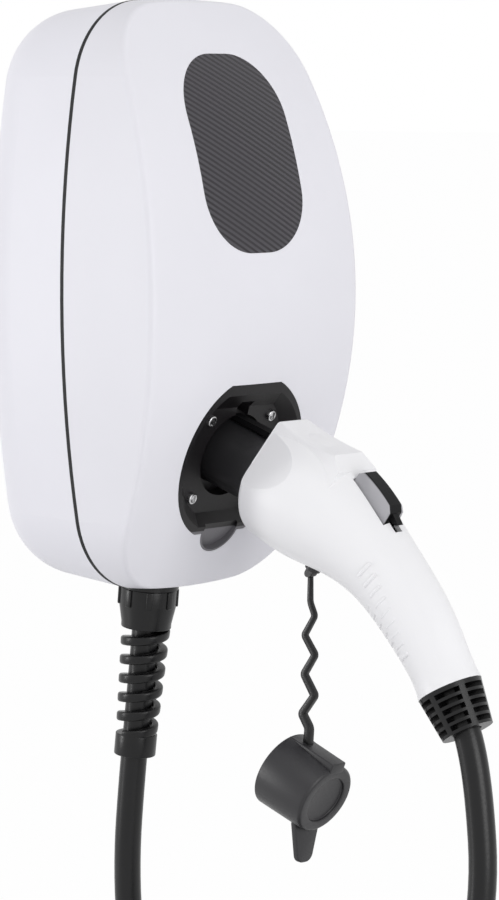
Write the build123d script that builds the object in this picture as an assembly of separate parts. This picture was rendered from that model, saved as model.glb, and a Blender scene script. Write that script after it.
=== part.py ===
from build123d import *
import math
import os

# Wall box with a tethered charging lead.
# X runs to the right as one faces the box, the wall is the plane Y = 0, the front looks along -Y, Z is up.
# The origin is the middle of the flat back face. All sizes are in millimetres and degrees.

# Enclosure outline, seen from the front: overall size and the three arcs of each quarter
body_width = 160.0
body_height = 290.0
side_arc = 577.0
end_arc = 362.0
corner_arc = 45.0

# Enclosure depth: tapered rear shell with a rounded back, domed front shell with a crease round its edge
rear_depth = 70.0
rear_draft = 5.7
rear_round = 36.0
front_depth = 59.0
front_draft = 4.0
dome_tall = 250.0
dome_wide = 900.0
crease_round = 3.0
wall = 3.0
seam_gap = 1.0
gasket_inset = 0.2

# Clearances
fit_gap = 0.1
slide_gap = 0.3
pocket_gap = 0.2

# Screws that hold the front shell to the rear shell, from behind
post_x = 54.0
post_z = 98.0
post_radius = 6.0
shell_screw_radius = 1.9
shell_screw_head = 3.6
shell_screw_head_height = 2.6
shell_screw_seat = 18.0
shell_screw_grip = 12.0

# Wall fixing holes and the rear supply entry
wall_hole_radius = 2.75
wall_hole_x = 26.0
wall_hole_inset = 61.0
wall_hole_z = body_height / 2 - wall_hole_inset
entry_up = 63.0
entry_z = entry_up - body_height / 2
entry_radius = 11.0
grommet_flange = 14.0
grommet_lip = 2.0
grommet_web = 1.2

# Status window let into the dome, with its light pipe and light board
window_width = 72.0
window_height = 96.0
window_corner = 30.0
window_down = 75.0
window_z = body_height / 2 - window_down
window_depth = 1.2
pipe_radius = 2.5
pipe_drop = 30.0
pipe_z = window_z - pipe_drop
pipe_length = 9.0
light_board_width = 34.0
light_board_height = 20.0
light_board_thick = 1.6
light_post_radius = 3.0
light_post_x = 12.0
lamp_radius = 2.4
lamp_height = 3.0

# Dock: a dished liner in a pocket of the dome, square to the dome where it sits
dock_up = 65.0
dock_z = dock_up - body_height / 2
dock_radius = 43.0
dock_flat = 39.0
dock_rim = 1.2
dock_dish = 8.0
dock_slope = 45.0
dock_brow = 12.5
dock_floor = 6.0
dock_mouth = 21.5
dock_mouth_depth = 7.0
dock_guide_depth = 17.0
dock_sleeve_wall = 3.0
dock_end = 3.0
dock_screw_x = 22.0
dock_screw_high = 19.5
dock_screw_low = -21.3
dock_screw_radius = 1.7
dock_screw_head = 2.8
dock_screw_head_height = 1.8
dock_boss_radius = 4.5
dock_boss_length = 7.0
keeper_width = 9.0
keeper_height = 29.0
drain_radius = 12.0
drain_drop = 37.0
drain_depth = 4.5
drain_tilt = 18.0

# Connector: round sections along one arc, from the rim at the dock to the end of the handle
rim_standoff = 22.7
handle_arc = 178.0
handle_arc_length = 131.0
rim_straight = 4.0
handle_end_length = 10.5
handle_length = rim_straight + handle_arc_length + handle_end_length
rim_radius = 28.6
rim_round = 4.0
shoulder_at = 18.0
shoulder_radius = 29.8
throat_at = 36.0
throat_radius = 28.4
neck_at = 54.0
neck_radius = 24.1
grip_at = 66.0
grip_radius = 21.3
palm_to_end = 48.5
palm_radius = 17.9
heel_to_end = 27.5
heel_radius = 16.6
handle_end_radius = 16.0
shell_wall = 2.6
front_wall = 3.0
ridge_front = 31.6
ridge_waist_at = 24.0
ridge_waist = 28.4
ridge_lip_at = 38.0
ridge_lip = 28.6
ridge_end = 46.0
ridge_end_top = 23.0
ridge_half_width = 9.0
ridge_base = 10.0
ridge_round = 2.0
flat_distance = 23.8
flat_angle = 31.0
flat_fade = 11.7
groove_count = 9
groove_start = 82.0
groove_pitch = 5.6
groove_radius = 1.2
groove_depth = 0.5
groove_rise = 0.45

# Nose of the connector and its contacts
nose_radius = 17.0
nose_length = 52.7
nose_back = 10.0
nose_flange = 20.5
nose_flange_thick = 5.0
nose_chamfer = 1.5
contact_depth = 30.0
contact_recess = 3.0
contact_wall = 0.9
power_contact = 3.2
power_contact_x = 7.5
power_contact_y = 5.5
earth_contact = 2.8
earth_contact_y = -8.5
pilot_contact = 1.8
pilot_contact_x = 10.5
pilot_contact_y = -3.0

# Latch trigger: thumb pad, lever, pivot and finger above the nose
trigger_at = 54.0
trigger_width = 12.0
trigger_top_width = 8.6
trigger_gap = 0.6
pad_front = -11.0
pad_rear = 14.5
pad_front_top = 31.6
pad_rear_top = 28.0
pad_foot = 14.0
pad_crown = 0.7
pad_round = 1.0
tail_length = 5.5
tail_width = 4.0
tail_height = 4.5
slot_play = 1.2
lever_width = 8.0
pivot_along = -21.0
pivot_up = 15.0
pivot_radius = 1.5
pivot_eye = 4.5
pivot_half_length = 12.0
pivot_boss_gap = 0.6
pivot_gap = 0.05
finger_width = 6.0
finger_thick = 3.0
finger_low = 17.6
finger_reach = 34.0
spring_thick = 0.5
spring_width = 5.0

# Screws that join the two halves of the connector: distance behind the rim and height over the centre line
half_screw_spots = [(24.0, -21.5), (62.0, -13.5), (handle_length - 47.5, -9.5)]
half_boss_radius = 3.6
half_screw_radius = 1.4
half_screw_head = 2.6
half_screw_head_height = 2.0
half_screw_length = 12.0

# Bend relief at the end of the handle
relief_length = 22.0
relief_top = 15.8
relief_tip = 12.7
relief_core = 8.4
relief_collar = 2.2
relief_rows = 5
relief_slot = 2.5
relief_ribs = 6
relief_rib_width = 3.0
relief_spigot = 11.0
relief_spigot_length = 10.0
clamp_back = 16.0
clamp_length = 10.0
clamp_wall = 3.2

# Dust cap, its zigzag strap and the stud that the strap hangs from
stud_at = 42.0
stud_plate = 4.0
stud_plate_thick = 0.9
stud_shank = 1.5
stud_barb = 2.6
stud_barb_gap = 1.8
stud_ear_gap = 1.7
stud_ear_thick = 1.0
stud_ear_wall = 0.9
stud_drop = 3.4
stud_pin = 0.9
eye_radius = 2.0
eye_half_width = 1.4
strap_width = 2.7
strap_thick = 2.7
cap_tilt = 25.0
cap_radius = 19.0
cap_wall = 1.4
cap_length = 29.6
cap_floor = 2.4
cap_recess = 1.6
cap_recess_radius = 13.0
cap_ahead = 9.8
cap_drop = 110.0
bar_width = 10.0
bar_height = 2.6
tab_width = 18.0
tab_tip_width = 10.0
tab_length = 19.0
tab_thick = 3.0
tab_bend = 15.0

# Cable gland under the rear shell, square to the tapered underside
gland_behind_seam = 16.0
gland_y = gland_behind_seam - rear_depth
gland_bush = 10.4
gland_inside = 14.0
gland_flange = 15.0
gland_flange_thick = 4.0
gland_spigot_length = 12.0
locknut_flats = 27.0
locknut_thick = 6.0
locknut_lift = 0.4
nut_radius = 14.3
nut_neck = 12.6
nut_straight = 13.0
nut_taper = 22.0
nut_end = 24.5
nut_lip = 1.6
lug_count = 8
lug_width = 3.2
lug_proud = 0.9
lug_length = 9.0
coil_pitch = 9.75
coil_start = 24.7
coil_turn = -69.0
coil_turns = 5.5
coil_radius = 10.7
coil_cone = -1.6
coil_bar_radial = 3.4
coil_bar_axial = 3.4
collar_radius = 10.7
collar_rim = 0.9
collar_rim_height = 2.6
collar_length = 12.5
seal_height = 5.6

# Charging cable: one lead from the gland to the connector, its spare length coiled and tied under the box
cable_radius = 6.75
cable_gap = 0.25
cable_inside = 22.0
cable_in_handle = 30.0
bundle_y = -140.0
bundle_z = -425.0
bundle_inner = 55.0
bundle_outer = 97.0
bundle_left = -37.0
bundle_right = 34.5
bundle_round = 12.0
tie_thick = 1.4
tie_gap = 0.1
tie_arc = 11.0
tie_angles = [90.0, 210.0, 330.0]
box_side_route = [(0, -39.5, -290), (13, -43, -335), (27, -53, -382), (27.4, -56, -425)]
handle_side_route = [(0, -18.8, -48.4), (-0.5, -22.3, -92.4)]
connector_side_route = [(-4, -258, -322), (-13, -240, -374), (-19.8, -230, -425)]

# Electronics behind the front shell
board_width = 100.0
board_height = 146.0
board_thick = 1.6
board_z = 11.0
board_back = 18.0
standoff_inset = 6.0
standoff_radius = 4.0
board_screw_radius = 1.2
board_screw_head = 2.6
board_screw_head_height = 1.8
board_screw_grip = 9.0
relay_size = (28.0, 22.0, 32.0)
relay_x = 18.0
relay_z = 36.0
supply_size = (46.0, 20.0, 24.0)
supply_z = 69.0
capacitor_radius = 7.0
capacitor_height = 24.0
capacitor_x = -37.0
capacitor_spots = [-22.0, -6.0, 10.0]
sensor_radius = 19.0
sensor_bore = 10.5
sensor_height = 14.0
sensor_foot = (24.0, 8.0)
sensor_x = 6.0
sensor_z = -6.0
terminal_size = (62.0, 20.0, 22.0)
terminal_z = -44.0
terminal_ways = 4
terminal_pitch = 13.0
terminal_hole = 3.0
terminal_hole_depth = 12.0
wire_radius = 1.7
wire_spread = 2.2
wire_lead = 14.0


def rod(start, end, radius):
    """Round bar between two points."""
    start = Vector(*start)
    end = Vector(*end)
    return extrude(Plane(origin=start, z_dir=end - start) * Circle(radius), (end - start).length)


def pipe(start, end, radius, bore):
    """Round tube between two points."""
    return rod(start, end, radius) - rod(start, end, bore)


def turned(plane, profile):
    """Solid turned about a plane's own Z axis from a profile of (radius, height) points."""
    return plane.location * revolve(make_face(Plane.XZ * Polyline(*profile, close=True)), Axis.Z)


def block(middle, size):
    """Box about a middle point."""
    return Pos(*middle) * Box(*size)


def group(solids):
    """Several separate solids kept as one node."""
    return Compound(children=list(solids))


# Enclosure forms

def corner_centre():
    """Middle of the corner arc that touches the side arc and the end arc from inside."""
    side_x = body_width / 2 - side_arc
    end_z = body_height / 2 - end_arc
    to_side = side_arc - corner_arc
    to_end = end_arc - corner_arc
    apart = math.hypot(side_x, end_z)
    along = (to_side**2 - to_end**2 + apart**2) / (2 * apart)
    across = math.sqrt(to_side**2 - along**2)
    unit_x = -side_x / apart
    unit_z = end_z / apart
    return (side_x + along * unit_x - across * unit_z, along * unit_z + across * unit_x)


def outline(inset, y):
    """Face of the enclosure's outline at depth y, with every arc moved in by inset."""
    centre_x, centre_z = corner_centre()
    side_angle = math.atan2(centre_z, centre_x - (body_width / 2 - side_arc))
    end_angle = math.atan2(centre_z - (body_height / 2 - end_arc), centre_x)
    radius = corner_arc - inset

    def corner(angle, sign_x, sign_z):
        x = centre_x + radius * math.cos(angle)
        z = centre_z + radius * math.sin(angle)
        return (sign_x * x, sign_z * z)

    middle_angle = (side_angle + end_angle) / 2
    half_width = body_width / 2 - inset
    half_height = body_height / 2 - inset
    arcs = [
        ThreePointArc(corner(side_angle, 1, -1), (half_width, 0), corner(side_angle, 1, 1)),
        ThreePointArc(corner(end_angle, 1, 1), (0, half_height), corner(end_angle, -1, 1)),
        ThreePointArc(corner(side_angle, -1, 1), (-half_width, 0), corner(side_angle, -1, -1)),
        ThreePointArc(corner(end_angle, -1, -1), (0, -half_height), corner(end_angle, 1, -1)),
    ]
    for sign_x, sign_z in [(1, 1), (-1, 1), (-1, -1), (1, -1)]:
        ends = [corner(angle, sign_x, sign_z) for angle in (side_angle, middle_angle, end_angle)]
        arcs.append(ThreePointArc(*ends))
    return Plane(origin=(0, y, 0), x_dir=(1, 0, 0), z_dir=(0, -1, 0)) * make_face(arcs)


def rear_form(inset):
    """Solid rear shell form, every wall moved in by inset, the back edge rounded."""
    taper = math.tan(math.radians(rear_draft)) * (rear_depth - inset)
    form = loft([outline(inset, -rear_depth), outline(inset + taper, -inset)], ruled=True)
    back = form.faces().sort_by(Axis.Y)[-1]
    return fillet(back.edges(), rear_round - inset)


def dome(inset):
    """Barrel whose near side is the domed front, moved in by inset."""
    apex = -(rear_depth + front_depth) + inset
    spin_y = -(rear_depth + front_depth) + dome_tall
    reach = body_width * 0.6
    wide = dome_wide - inset
    sag = wide - math.sqrt(wide**2 - reach**2)
    far_apex = 2 * spin_y - apex
    front = ThreePointArc((-reach, far_apex - sag), (0, far_apex), (reach, far_apex - sag))
    sides = Polyline((reach, far_apex - sag), (reach, spin_y), (-reach, spin_y), (-reach, far_apex - sag))
    return revolve(make_face([front, sides]), Axis((0, spin_y, 0), (1, 0, 0)))


def front_form(inset):
    """Solid front shell form, every wall moved in by inset."""
    base = -(rear_depth + seam_gap)
    taper = math.tan(math.radians(front_draft)) * front_depth
    prism = loft([outline(inset, base), outline(inset + taper, base - front_depth)], ruled=True)
    return prism & dome(inset)


def creased(form):
    """Front form with its crease softened."""
    face = form.faces().sort_by(Axis.Y)[0]
    return fillet(face.edges(), crease_round)


def front_surface(z):
    """Y of the dome at height z on the middle plane."""
    return -(rear_depth + front_depth) + dome_tall - math.sqrt(dome_tall**2 - z**2)


rear_outer = rear_form(0)
rear_inner = rear_form(wall)
front_outer = creased(front_form(0))
front_inner = front_form(wall)
front_base = -(rear_depth + seam_gap)
shell_posts = [(x, z) for x in (-post_x, post_x) for z in (-post_z, post_z)]
wall_holes = [(x, z) for x in (-wall_hole_x, wall_hole_x) for z in (-wall_hole_z, wall_hole_z)]
board_front = -(board_back + board_thick)
standoffs = [
    (x, board_z + z)
    for x in (standoff_inset - board_width / 2, board_width / 2 - standoff_inset)
    for z in (standoff_inset - board_height / 2, board_height / 2 - standoff_inset)
]

# Frames of the dock and the gland
dock_angle = math.asin(-dock_z / dome_tall)
dock_out = Vector(0, -math.cos(dock_angle), -math.sin(dock_angle))
dock_plane = Plane(origin=(0, front_surface(dock_z), dock_z), x_dir=(1, 0, 0), z_dir=dock_out)
gland_z = -body_height / 2 + math.tan(math.radians(rear_draft)) * (rear_depth + gland_y)
gland_down = Vector(0, math.sin(math.radians(rear_draft)), -math.cos(math.radians(rear_draft)))
gland_plane = Plane(origin=(0, gland_y, gland_z), x_dir=(1, 0, 0), z_dir=gland_down)


def on_dock(x, up, out):
    """Point of the dock's frame in the frame of the box."""
    return dock_plane.from_local_coords(Vector(x, up, out))


def on_gland(depth):
    """Point on the gland's axis, depth below the underside."""
    return gland_plane.from_local_coords(Vector(0, 0, depth))


# Enclosure

def rear_shell():
    """Rear shell with screw posts, board standoffs, wall holes, supply entry and gland hole."""
    shell = rear_outer - rear_inner
    for x, z in shell_posts:
        shell += rod((x, 0, z), (x, -rear_depth, z), post_radius) & rear_outer
    for x, z in standoffs:
        shell += rod((x, 0, z), (x, -board_back, z), standoff_radius) & rear_outer
    for x, z in shell_posts:
        shell -= rod((x, 1, z), (x, -rear_depth + shell_screw_seat, z), shell_screw_head + pocket_gap)
        shell -= rod((x, 0, z), (x, -rear_depth - 1, z), shell_screw_radius + fit_gap)
    for x, z in standoffs:
        hole_end = -board_back + board_screw_grip
        shell -= rod((x, hole_end, z), (x, -board_back, z), board_screw_radius + fit_gap)
    for x, z in wall_holes:
        shell -= rod((x, 1, z), (x, -wall - 1, z), wall_hole_radius)
    shell -= rod((0, 1, entry_z), (0, -wall - 1, entry_z), entry_radius)
    shell -= rod(on_gland(-2 * wall), on_gland(wall), gland_bush + pocket_gap)
    return shell


def dock_outline(grow):
    """Round outline of the dock with a flat at top and bottom."""
    flats = Rectangle(2 * (dock_radius + grow), 2 * (dock_flat + grow))
    return dock_plane * (Circle(dock_radius + grow) & flats)


def dock_block(grow, depth):
    """Block under the dome in the shape of the dock and its drain, down to a depth."""
    above = dock_dish
    main = extrude(dock_outline(grow), above) + extrude(dock_outline(grow), -depth)
    lobe = dock_plane * (Pos(0, -drain_drop) * Circle(drain_radius + dock_rim + grow))
    drain = extrude(lobe, above) + extrude(lobe, -depth)
    return (main + drain) & front_outer


def front_shell():
    """Domed front shell with its dock pocket, window recess, screw posts and light posts."""
    depth = dock_dish + dock_floor
    shell = front_outer - front_inner
    shell += dock_block(pocket_gap + wall, depth + wall)
    for x, z in shell_posts:
        shell += rod((x, front_base, z), (x, front_base - front_depth, z), post_radius) & front_outer
    for x in (-light_post_x, light_post_x):
        post_end = light_board_y() - front_depth
        post = rod((x, light_board_y(), pipe_z), (x, post_end, pipe_z), light_post_radius)
        shell += post & front_outer
    for x, up in dock_screw_spots():
        shell += rod(on_dock(x, up, -depth), on_dock(x, up, -depth - dock_boss_length), dock_boss_radius)
    shell -= dock_block(pocket_gap, depth)
    sleeve = dock_mouth + dock_sleeve_wall + pocket_gap
    shell -= rod(on_dock(0, 0, 0), on_dock(0, 0, -depth - 2 * wall), sleeve)
    for x, up in dock_screw_spots():
        hole_end = on_dock(x, up, -depth - dock_boss_length)
        shell -= rod(on_dock(x, up, 0), hole_end, dock_screw_radius + fit_gap)
    for x, z in shell_posts:
        hole_end = front_base - shell_screw_grip - 1
        shell -= rod((x, front_base + 1, z), (x, hole_end, z), shell_screw_radius + fit_gap)
    shell -= window_block(fit_gap)
    shell -= rod((0, light_board_y(), pipe_z), (0, -rear_depth - front_depth, pipe_z), pipe_radius + fit_gap)
    return shell


def seam_gasket():
    """Dark rubber strip between the two shells."""
    ring = outline(gasket_inset, -rear_depth) - outline(wall, -rear_depth)
    return extrude(ring, seam_gap, dir=(0, -1, 0))


def shell_screws():
    """Four long screws from the back into the front shell's posts."""
    screws = []
    for x, z in shell_posts:
        seat = -rear_depth + shell_screw_seat
        shank = rod((x, seat, z), (x, front_base - shell_screw_grip, z), shell_screw_radius)
        screws.append(shank + rod((x, seat + shell_screw_head_height, z), (x, seat, z), shell_screw_head))
    return group(screws)


def supply_grommet():
    """Rubber grommet that closes the rear supply entry, with a thin web to pierce."""
    frame = Plane(origin=(0, 0, entry_z), x_dir=(1, 0, 0), z_dir=(0, -1, 0))
    neck = entry_radius - fit_gap
    inner = entry_radius - grommet_lip
    profile = [
        (0, wall - grommet_web), (inner, wall - grommet_web), (inner, 0), (neck, 0), (neck, wall),
        (grommet_flange, wall), (grommet_flange, wall + grommet_lip), (inner, wall + grommet_lip),
        (inner, wall), (0, wall),
    ]
    return turned(frame, profile)


# Status window

def light_board_y():
    """Front face of the light board, one pipe length behind the window's back."""
    return front_surface(pipe_z) + window_depth + pipe_length


def window_block(grow):
    """Rounded plate let into the dome."""
    face = RectangleRounded(window_width + 2 * grow, window_height + 2 * grow, window_corner + grow)
    frame = Plane(origin=(0, front_base, window_z), x_dir=(1, 0, 0), z_dir=(0, -1, 0))
    return (extrude(frame * face, front_depth) & front_outer) - dome(window_depth)


def status_window():
    """Smoked window, flush with the dome."""
    return window_block(0)


def light_pipe():
    """Clear rod from the lamp to the back of the window."""
    lamp = light_board_y() - lamp_height
    rear = rod((0, lamp, pipe_z), (0, -rear_depth - front_depth, pipe_z), pipe_radius)
    return rear & dome(window_depth)


def light_board():
    """Small board with the status lamp, on the two light posts."""
    middle_y = light_board_y() + light_board_thick / 2
    plate = block((0, middle_y, pipe_z), (light_board_width, light_board_thick, light_board_height))
    lamp = rod((0, light_board_y(), pipe_z), (0, light_board_y() - lamp_height, pipe_z), lamp_radius)
    return plate + lamp


# Dock

def dock_screw_spots():
    """Places of the dock's screws in its own frame."""
    return [(x, up) for x in (-dock_screw_x, dock_screw_x) for up in (dock_screw_low, dock_screw_high)]


def dock_floor_outline():
    """Outline of the dish's floor, which the brow at the top leaves lower than the other sides do."""
    spread = dock_dish * math.tan(math.radians(dock_slope))
    low = dock_rim + spread - dock_flat
    high = dock_flat - dock_rim - dock_brow
    flats = Pos(0, (low + high) / 2) * Rectangle(2 * dock_radius, high - low)
    return dock_plane * (Circle(dock_radius - dock_rim - spread) & flats)


def dock_liner():
    """Dished liner with a mouth, a guide sleeve for the nose, a latch keeper and a drain scoop."""
    depth = dock_dish + dock_floor
    mouth_end = dock_dish + dock_mouth_depth
    guide_end = mouth_end + dock_guide_depth
    liner = dock_block(0, depth)
    liner += rod(on_dock(0, 0, -depth), on_dock(0, 0, -guide_end - dock_end), dock_mouth + dock_sleeve_wall)
    dish = loft([dock_outline(-dock_rim), Pos(dock_out * -dock_dish) * dock_floor_outline()], ruled=True)
    liner -= dish + extrude(dock_outline(-dock_rim), dock_dish)
    scoop_middle = on_dock(0, -drain_drop, -drain_depth)
    scoop_frame = Plane(origin=scoop_middle, x_dir=(1, 0, 0), z_dir=dock_out.rotate(Axis.X, drain_tilt))
    liner -= extrude(scoop_frame * Circle(drain_radius), dock_dish + drain_depth)
    liner -= rod(on_dock(0, 0, 0), on_dock(0, 0, -mouth_end), dock_mouth)
    liner -= rod(on_dock(0, 0, 0), on_dock(0, 0, -guide_end), nose_radius + slide_gap)
    keeper = Pos(0, keeper_height / 2) * Rectangle(keeper_width, keeper_height)
    liner -= extrude(dock_plane * keeper, -mouth_end)
    for x, up in dock_screw_spots():
        liner -= rod(on_dock(x, up, 0), on_dock(x, up, -depth), dock_screw_radius + fit_gap)
    return liner


def dock_screws():
    """Four bright screws that hold the liner in its pocket."""
    screws = []
    for x, up in dock_screw_spots():
        tip = dock_dish + dock_floor + dock_boss_length - 1
        screw = rod(on_dock(x, up, -dock_dish), on_dock(x, up, -tip), dock_screw_radius)
        head_top = on_dock(x, up, dock_screw_head_height - dock_dish)
        head = rod(on_dock(x, up, -dock_dish), head_top, dock_screw_head)
        screws.append(screw + head)
    return group(screws)


# Electronics

def main_board():
    """Circuit board on the rear shell's standoffs."""
    middle = (0, -board_back - board_thick / 2, board_z)
    board = block(middle, (board_width, board_thick, board_height))
    for x, z in standoffs:
        board -= rod((x, -board_back, z), (x, board_front, z), board_screw_radius + fit_gap)
    return board


def board_screws():
    """Screws that hold the board on its standoffs."""
    screws = []
    for x, z in standoffs:
        shank = rod((x, board_front, z), (x, -board_back + board_screw_grip - 1, z), board_screw_radius)
        head = rod((x, board_front, z), (x, board_front - board_screw_head_height, z), board_screw_head)
        screws.append(shank + head)
    return group(screws)


def on_board(x, z, size):
    """Block of a size standing on the board's front face."""
    return block((x, board_front - size[1] / 2, z), size)


def power_relays():
    """Two relays that switch the line and the neutral."""
    return group([chamfer_front(on_board(x, relay_z, relay_size)) for x in (-relay_x, relay_x)])


def chamfer_front(solid):
    """Case with its outer edges eased."""
    return chamfer(solid.faces().sort_by(Axis.Y)[0].edges(), 1.0)


def power_supply():
    """Potted supply for the control circuit."""
    return chamfer_front(on_board(0, supply_z, supply_size))


def capacitors():
    """Row of smoothing capacitors."""
    tip = board_front - capacitor_height
    cans = []
    for z in capacitor_spots:
        cans.append(rod((capacitor_x, board_front, z), (capacitor_x, tip, z), capacitor_radius))
    return group(cans)


def leakage_sensor():
    """Ring that the live wires pass through, on its foot."""
    middle_y = board_front - sensor_foot[1] / 2 - sensor_radius
    low = (sensor_x, middle_y, sensor_z - sensor_height / 2)
    high = (sensor_x, middle_y, sensor_z + sensor_height / 2)
    foot = on_board(sensor_x, sensor_z, (sensor_foot[0], sensor_foot[1], sensor_height))
    return (rod(low, high, sensor_radius) + foot) - rod(low, high, sensor_bore)


def terminal_x(index):
    """Place of one way of the terminal block."""
    return (index - (terminal_ways - 1) / 2) * terminal_pitch


def terminal_block():
    """Screw terminals for the lead's conductors, with wire holes underneath and screw wells in front."""
    body = chamfer_front(on_board(0, terminal_z, terminal_size))
    low = terminal_z - terminal_size[2] / 2
    middle_y = board_front - terminal_size[1] / 2
    for index in range(terminal_ways):
        x = terminal_x(index)
        body -= rod((x, middle_y, low), (x, middle_y, low + terminal_hole_depth), terminal_hole)
        front = board_front - terminal_size[1]
        body -= rod((x, front, terminal_z), (x, middle_y + terminal_hole, terminal_z), terminal_hole)
    return body


def output_wires():
    """Conductors from the lead's inner end up to the terminals."""
    wires = []
    start = on_gland(-cable_inside - fit_gap)
    middle_y = board_front - terminal_size[1] / 2
    end_z = terminal_z - terminal_size[2] / 2 + terminal_hole_depth - 1
    for index in range(terminal_ways):
        offset = (index - (terminal_ways - 1) / 2) * wire_spread * 1.6
        x = terminal_x(index)
        points = [
            start + Vector(offset, 0, 0),
            start + Vector(offset, 0, 0) - gland_down * wire_lead,
            Vector(x, middle_y, end_z - terminal_hole_depth - wire_lead),
            Vector(x, middle_y, end_z),
        ]
        line = FilletPolyline(*points, radius=wire_lead / 2)
        wires.append(sweep(Plane(origin=points[0], z_dir=gland_down * -1) * Circle(wire_radius), line))
    return group(wires)


# Gland

def gland_body():
    """Bush through the underside, with its outer flange and the spigot that the nut screws on."""
    bore = cable_radius + cable_gap
    spigot_end = gland_flange_thick + gland_spigot_length
    profile = [
        (bore, -gland_inside), (gland_bush, -gland_inside), (gland_bush, 0), (gland_flange, 0),
        (gland_flange, gland_flange_thick), (gland_bush, gland_flange_thick),
        (gland_bush, spigot_end), (bore, spigot_end),
    ]
    return turned(gland_plane, profile)


def gland_locknut():
    """Six-sided nut on the bush inside the box."""
    seat = wall + locknut_lift
    frame = Plane(origin=on_gland(-seat), x_dir=(1, 0, 0), z_dir=gland_down * -1)
    sides = RegularPolygon(locknut_flats / 2, 6, major_radius=False) - Circle(gland_bush + fit_gap)
    return extrude(frame * sides, locknut_thick)


def gland_seal():
    """Rubber ring squeezed round the cable by the nut."""
    top = gland_flange_thick + gland_spigot_length + fit_gap
    return pipe(on_gland(top), on_gland(top + seal_height), gland_bush, cable_radius + cable_gap)


def gland_spiral_nut():
    """Nut that runs on into an open spiral and a collar, moulded in one piece."""
    bore = cable_radius + 2 * cable_gap
    start = gland_flange_thick + fit_gap
    inside = gland_bush + fit_gap
    profile = [
        (inside, start), (nut_radius, start), (nut_radius, nut_straight), (nut_neck, nut_taper),
        (nut_neck, nut_end), (bore, nut_end), (bore, nut_end - nut_lip), (inside, nut_end - nut_lip),
    ]
    nut = turned(Plane.XY, profile)
    for index in range(lug_count):
        lug = block((nut_radius, 0, start + lug_length / 2), (2 * lug_proud, lug_width, lug_length))
        nut += Rot(0, 0, index * 360 / lug_count) * lug
    height = coil_pitch * coil_turns
    spiral = Helix(coil_pitch, height, coil_radius, center=(0, 0, coil_start), cone_angle=coil_cone)
    lead = math.atan2(coil_pitch, 2 * math.pi * coil_radius)
    heading = (0, math.cos(lead), math.sin(lead))
    section = Plane(origin=(coil_radius, 0, coil_start), x_dir=(1, 0, 0), z_dir=heading)
    bar = sweep(section * Rectangle(coil_bar_radial, coil_bar_axial), spiral, is_frenet=True)
    nut += Rot(0, 0, coil_turn) * bar
    end = coil_start + height
    rim = coil_radius + math.tan(math.radians(coil_cone)) * height + coil_bar_radial / 2 + collar_rim
    collar = pipe((0, 0, end - coil_bar_axial / 2), (0, 0, end + collar_rim_height), rim, bore)
    collar += pipe((0, 0, end), (0, 0, end + collar_length), collar_radius, bore)
    nut += collar
    return gland_plane.location * nut


# Connector

def handle_frame(along):
    """Section plane of the connector behind its rim: X across, Y up, Z towards the handle's end."""
    before = min(along, rim_straight)
    round_arc = min(max(along - rim_straight, 0), handle_arc_length)
    beyond = along - before - round_arc
    angle = dock_angle + round_arc / handle_arc
    start = on_dock(0, 0, rim_standoff + before)
    y = start.Y - handle_arc * (math.sin(angle) - math.sin(dock_angle)) - beyond * math.cos(angle)
    z = start.Z - handle_arc * (math.cos(dock_angle) - math.cos(angle)) - beyond * math.sin(angle)
    return Plane(origin=(0, y, z), x_dir=(1, 0, 0), z_dir=(0, -math.cos(angle), -math.sin(angle)))


def on_handle(along, up, x=0):
    """Point beside the connector's centre line."""
    return handle_frame(along).from_local_coords(Vector(x, up, 0))


def on_tail(beyond):
    """Point on the straight axis through the handle's end, a distance beyond that end."""
    return handle_frame(handle_length).from_local_coords(Vector(0, 0, beyond))


handle_sections = [
    (0, rim_radius), (shoulder_at, shoulder_radius), (throat_at, throat_radius), (neck_at, neck_radius),
    (grip_at, grip_radius), (handle_length - palm_to_end, palm_radius),
    (handle_length - heel_to_end, heel_radius), (handle_length, handle_end_radius),
]


def handle_form(inset, start):
    """Smooth body through the connector's sections, moved in by inset and begun a little behind the rim."""
    sections = []
    for along, radius in handle_sections:
        sections.append(handle_frame(max(along, start)) * Circle(radius - inset))
    return loft(sections)


def rim_flat(side, inset):
    """Block whose face takes a flat off one upper side of the rim, moved in by inset; it runs out behind."""
    angle = math.radians(flat_angle)
    fade = math.radians(flat_fade)
    outward = Vector(side * math.cos(angle), 0, 0) + dock_plane.y_dir * math.sin(angle)
    spot = on_dock(0, 0, rim_standoff) + outward * (flat_distance - inset)
    frame = Plane(origin=spot, z_dir=outward * math.cos(fade) - dock_out * math.sin(fade))
    return extrude(frame * Rectangle(4 * rim_radius, 4 * rim_radius), rim_radius)


def latch_ridge():
    """Flat-topped ridge over the latch, from the rim to a lip before the trigger."""
    frame = Plane(origin=on_dock(0, 0, rim_standoff), x_dir=dock_out, z_dir=(-1, 0, 0))
    top = Spline((0, ridge_front), (ridge_waist_at, ridge_waist), (ridge_lip_at, ridge_lip))
    rest = Polyline(
        (ridge_lip_at, ridge_lip), (ridge_end, ridge_end_top), (ridge_end, 0), (0, 0), (0, ridge_front),
    )
    side_view = extrude(frame * make_face([top, rest]), 2 * rim_radius, both=True)
    foot = ridge_half_width + (ridge_front - ridge_base) * math.tan(math.radians(flat_angle))
    end_view = Polyline(
        (-foot, ridge_base), (foot, ridge_base), (ridge_half_width, ridge_front),
        (-ridge_half_width, ridge_front), close=True,
    )
    ridge = extrude(Pos(dock_out * rim_standoff) * (dock_plane * make_face(end_view)), ridge_end) & side_view
    middle = on_dock(0, ridge_waist, rim_standoff + ridge_waist_at)
    top_edges = ridge.edges().sort_by_distance(middle)[:2]
    front_edges = ridge.edges().sort_by_distance(on_dock(0, ridge_front, rim_standoff))[:1]
    return fillet([*top_edges, *front_edges], ridge_round)


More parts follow.
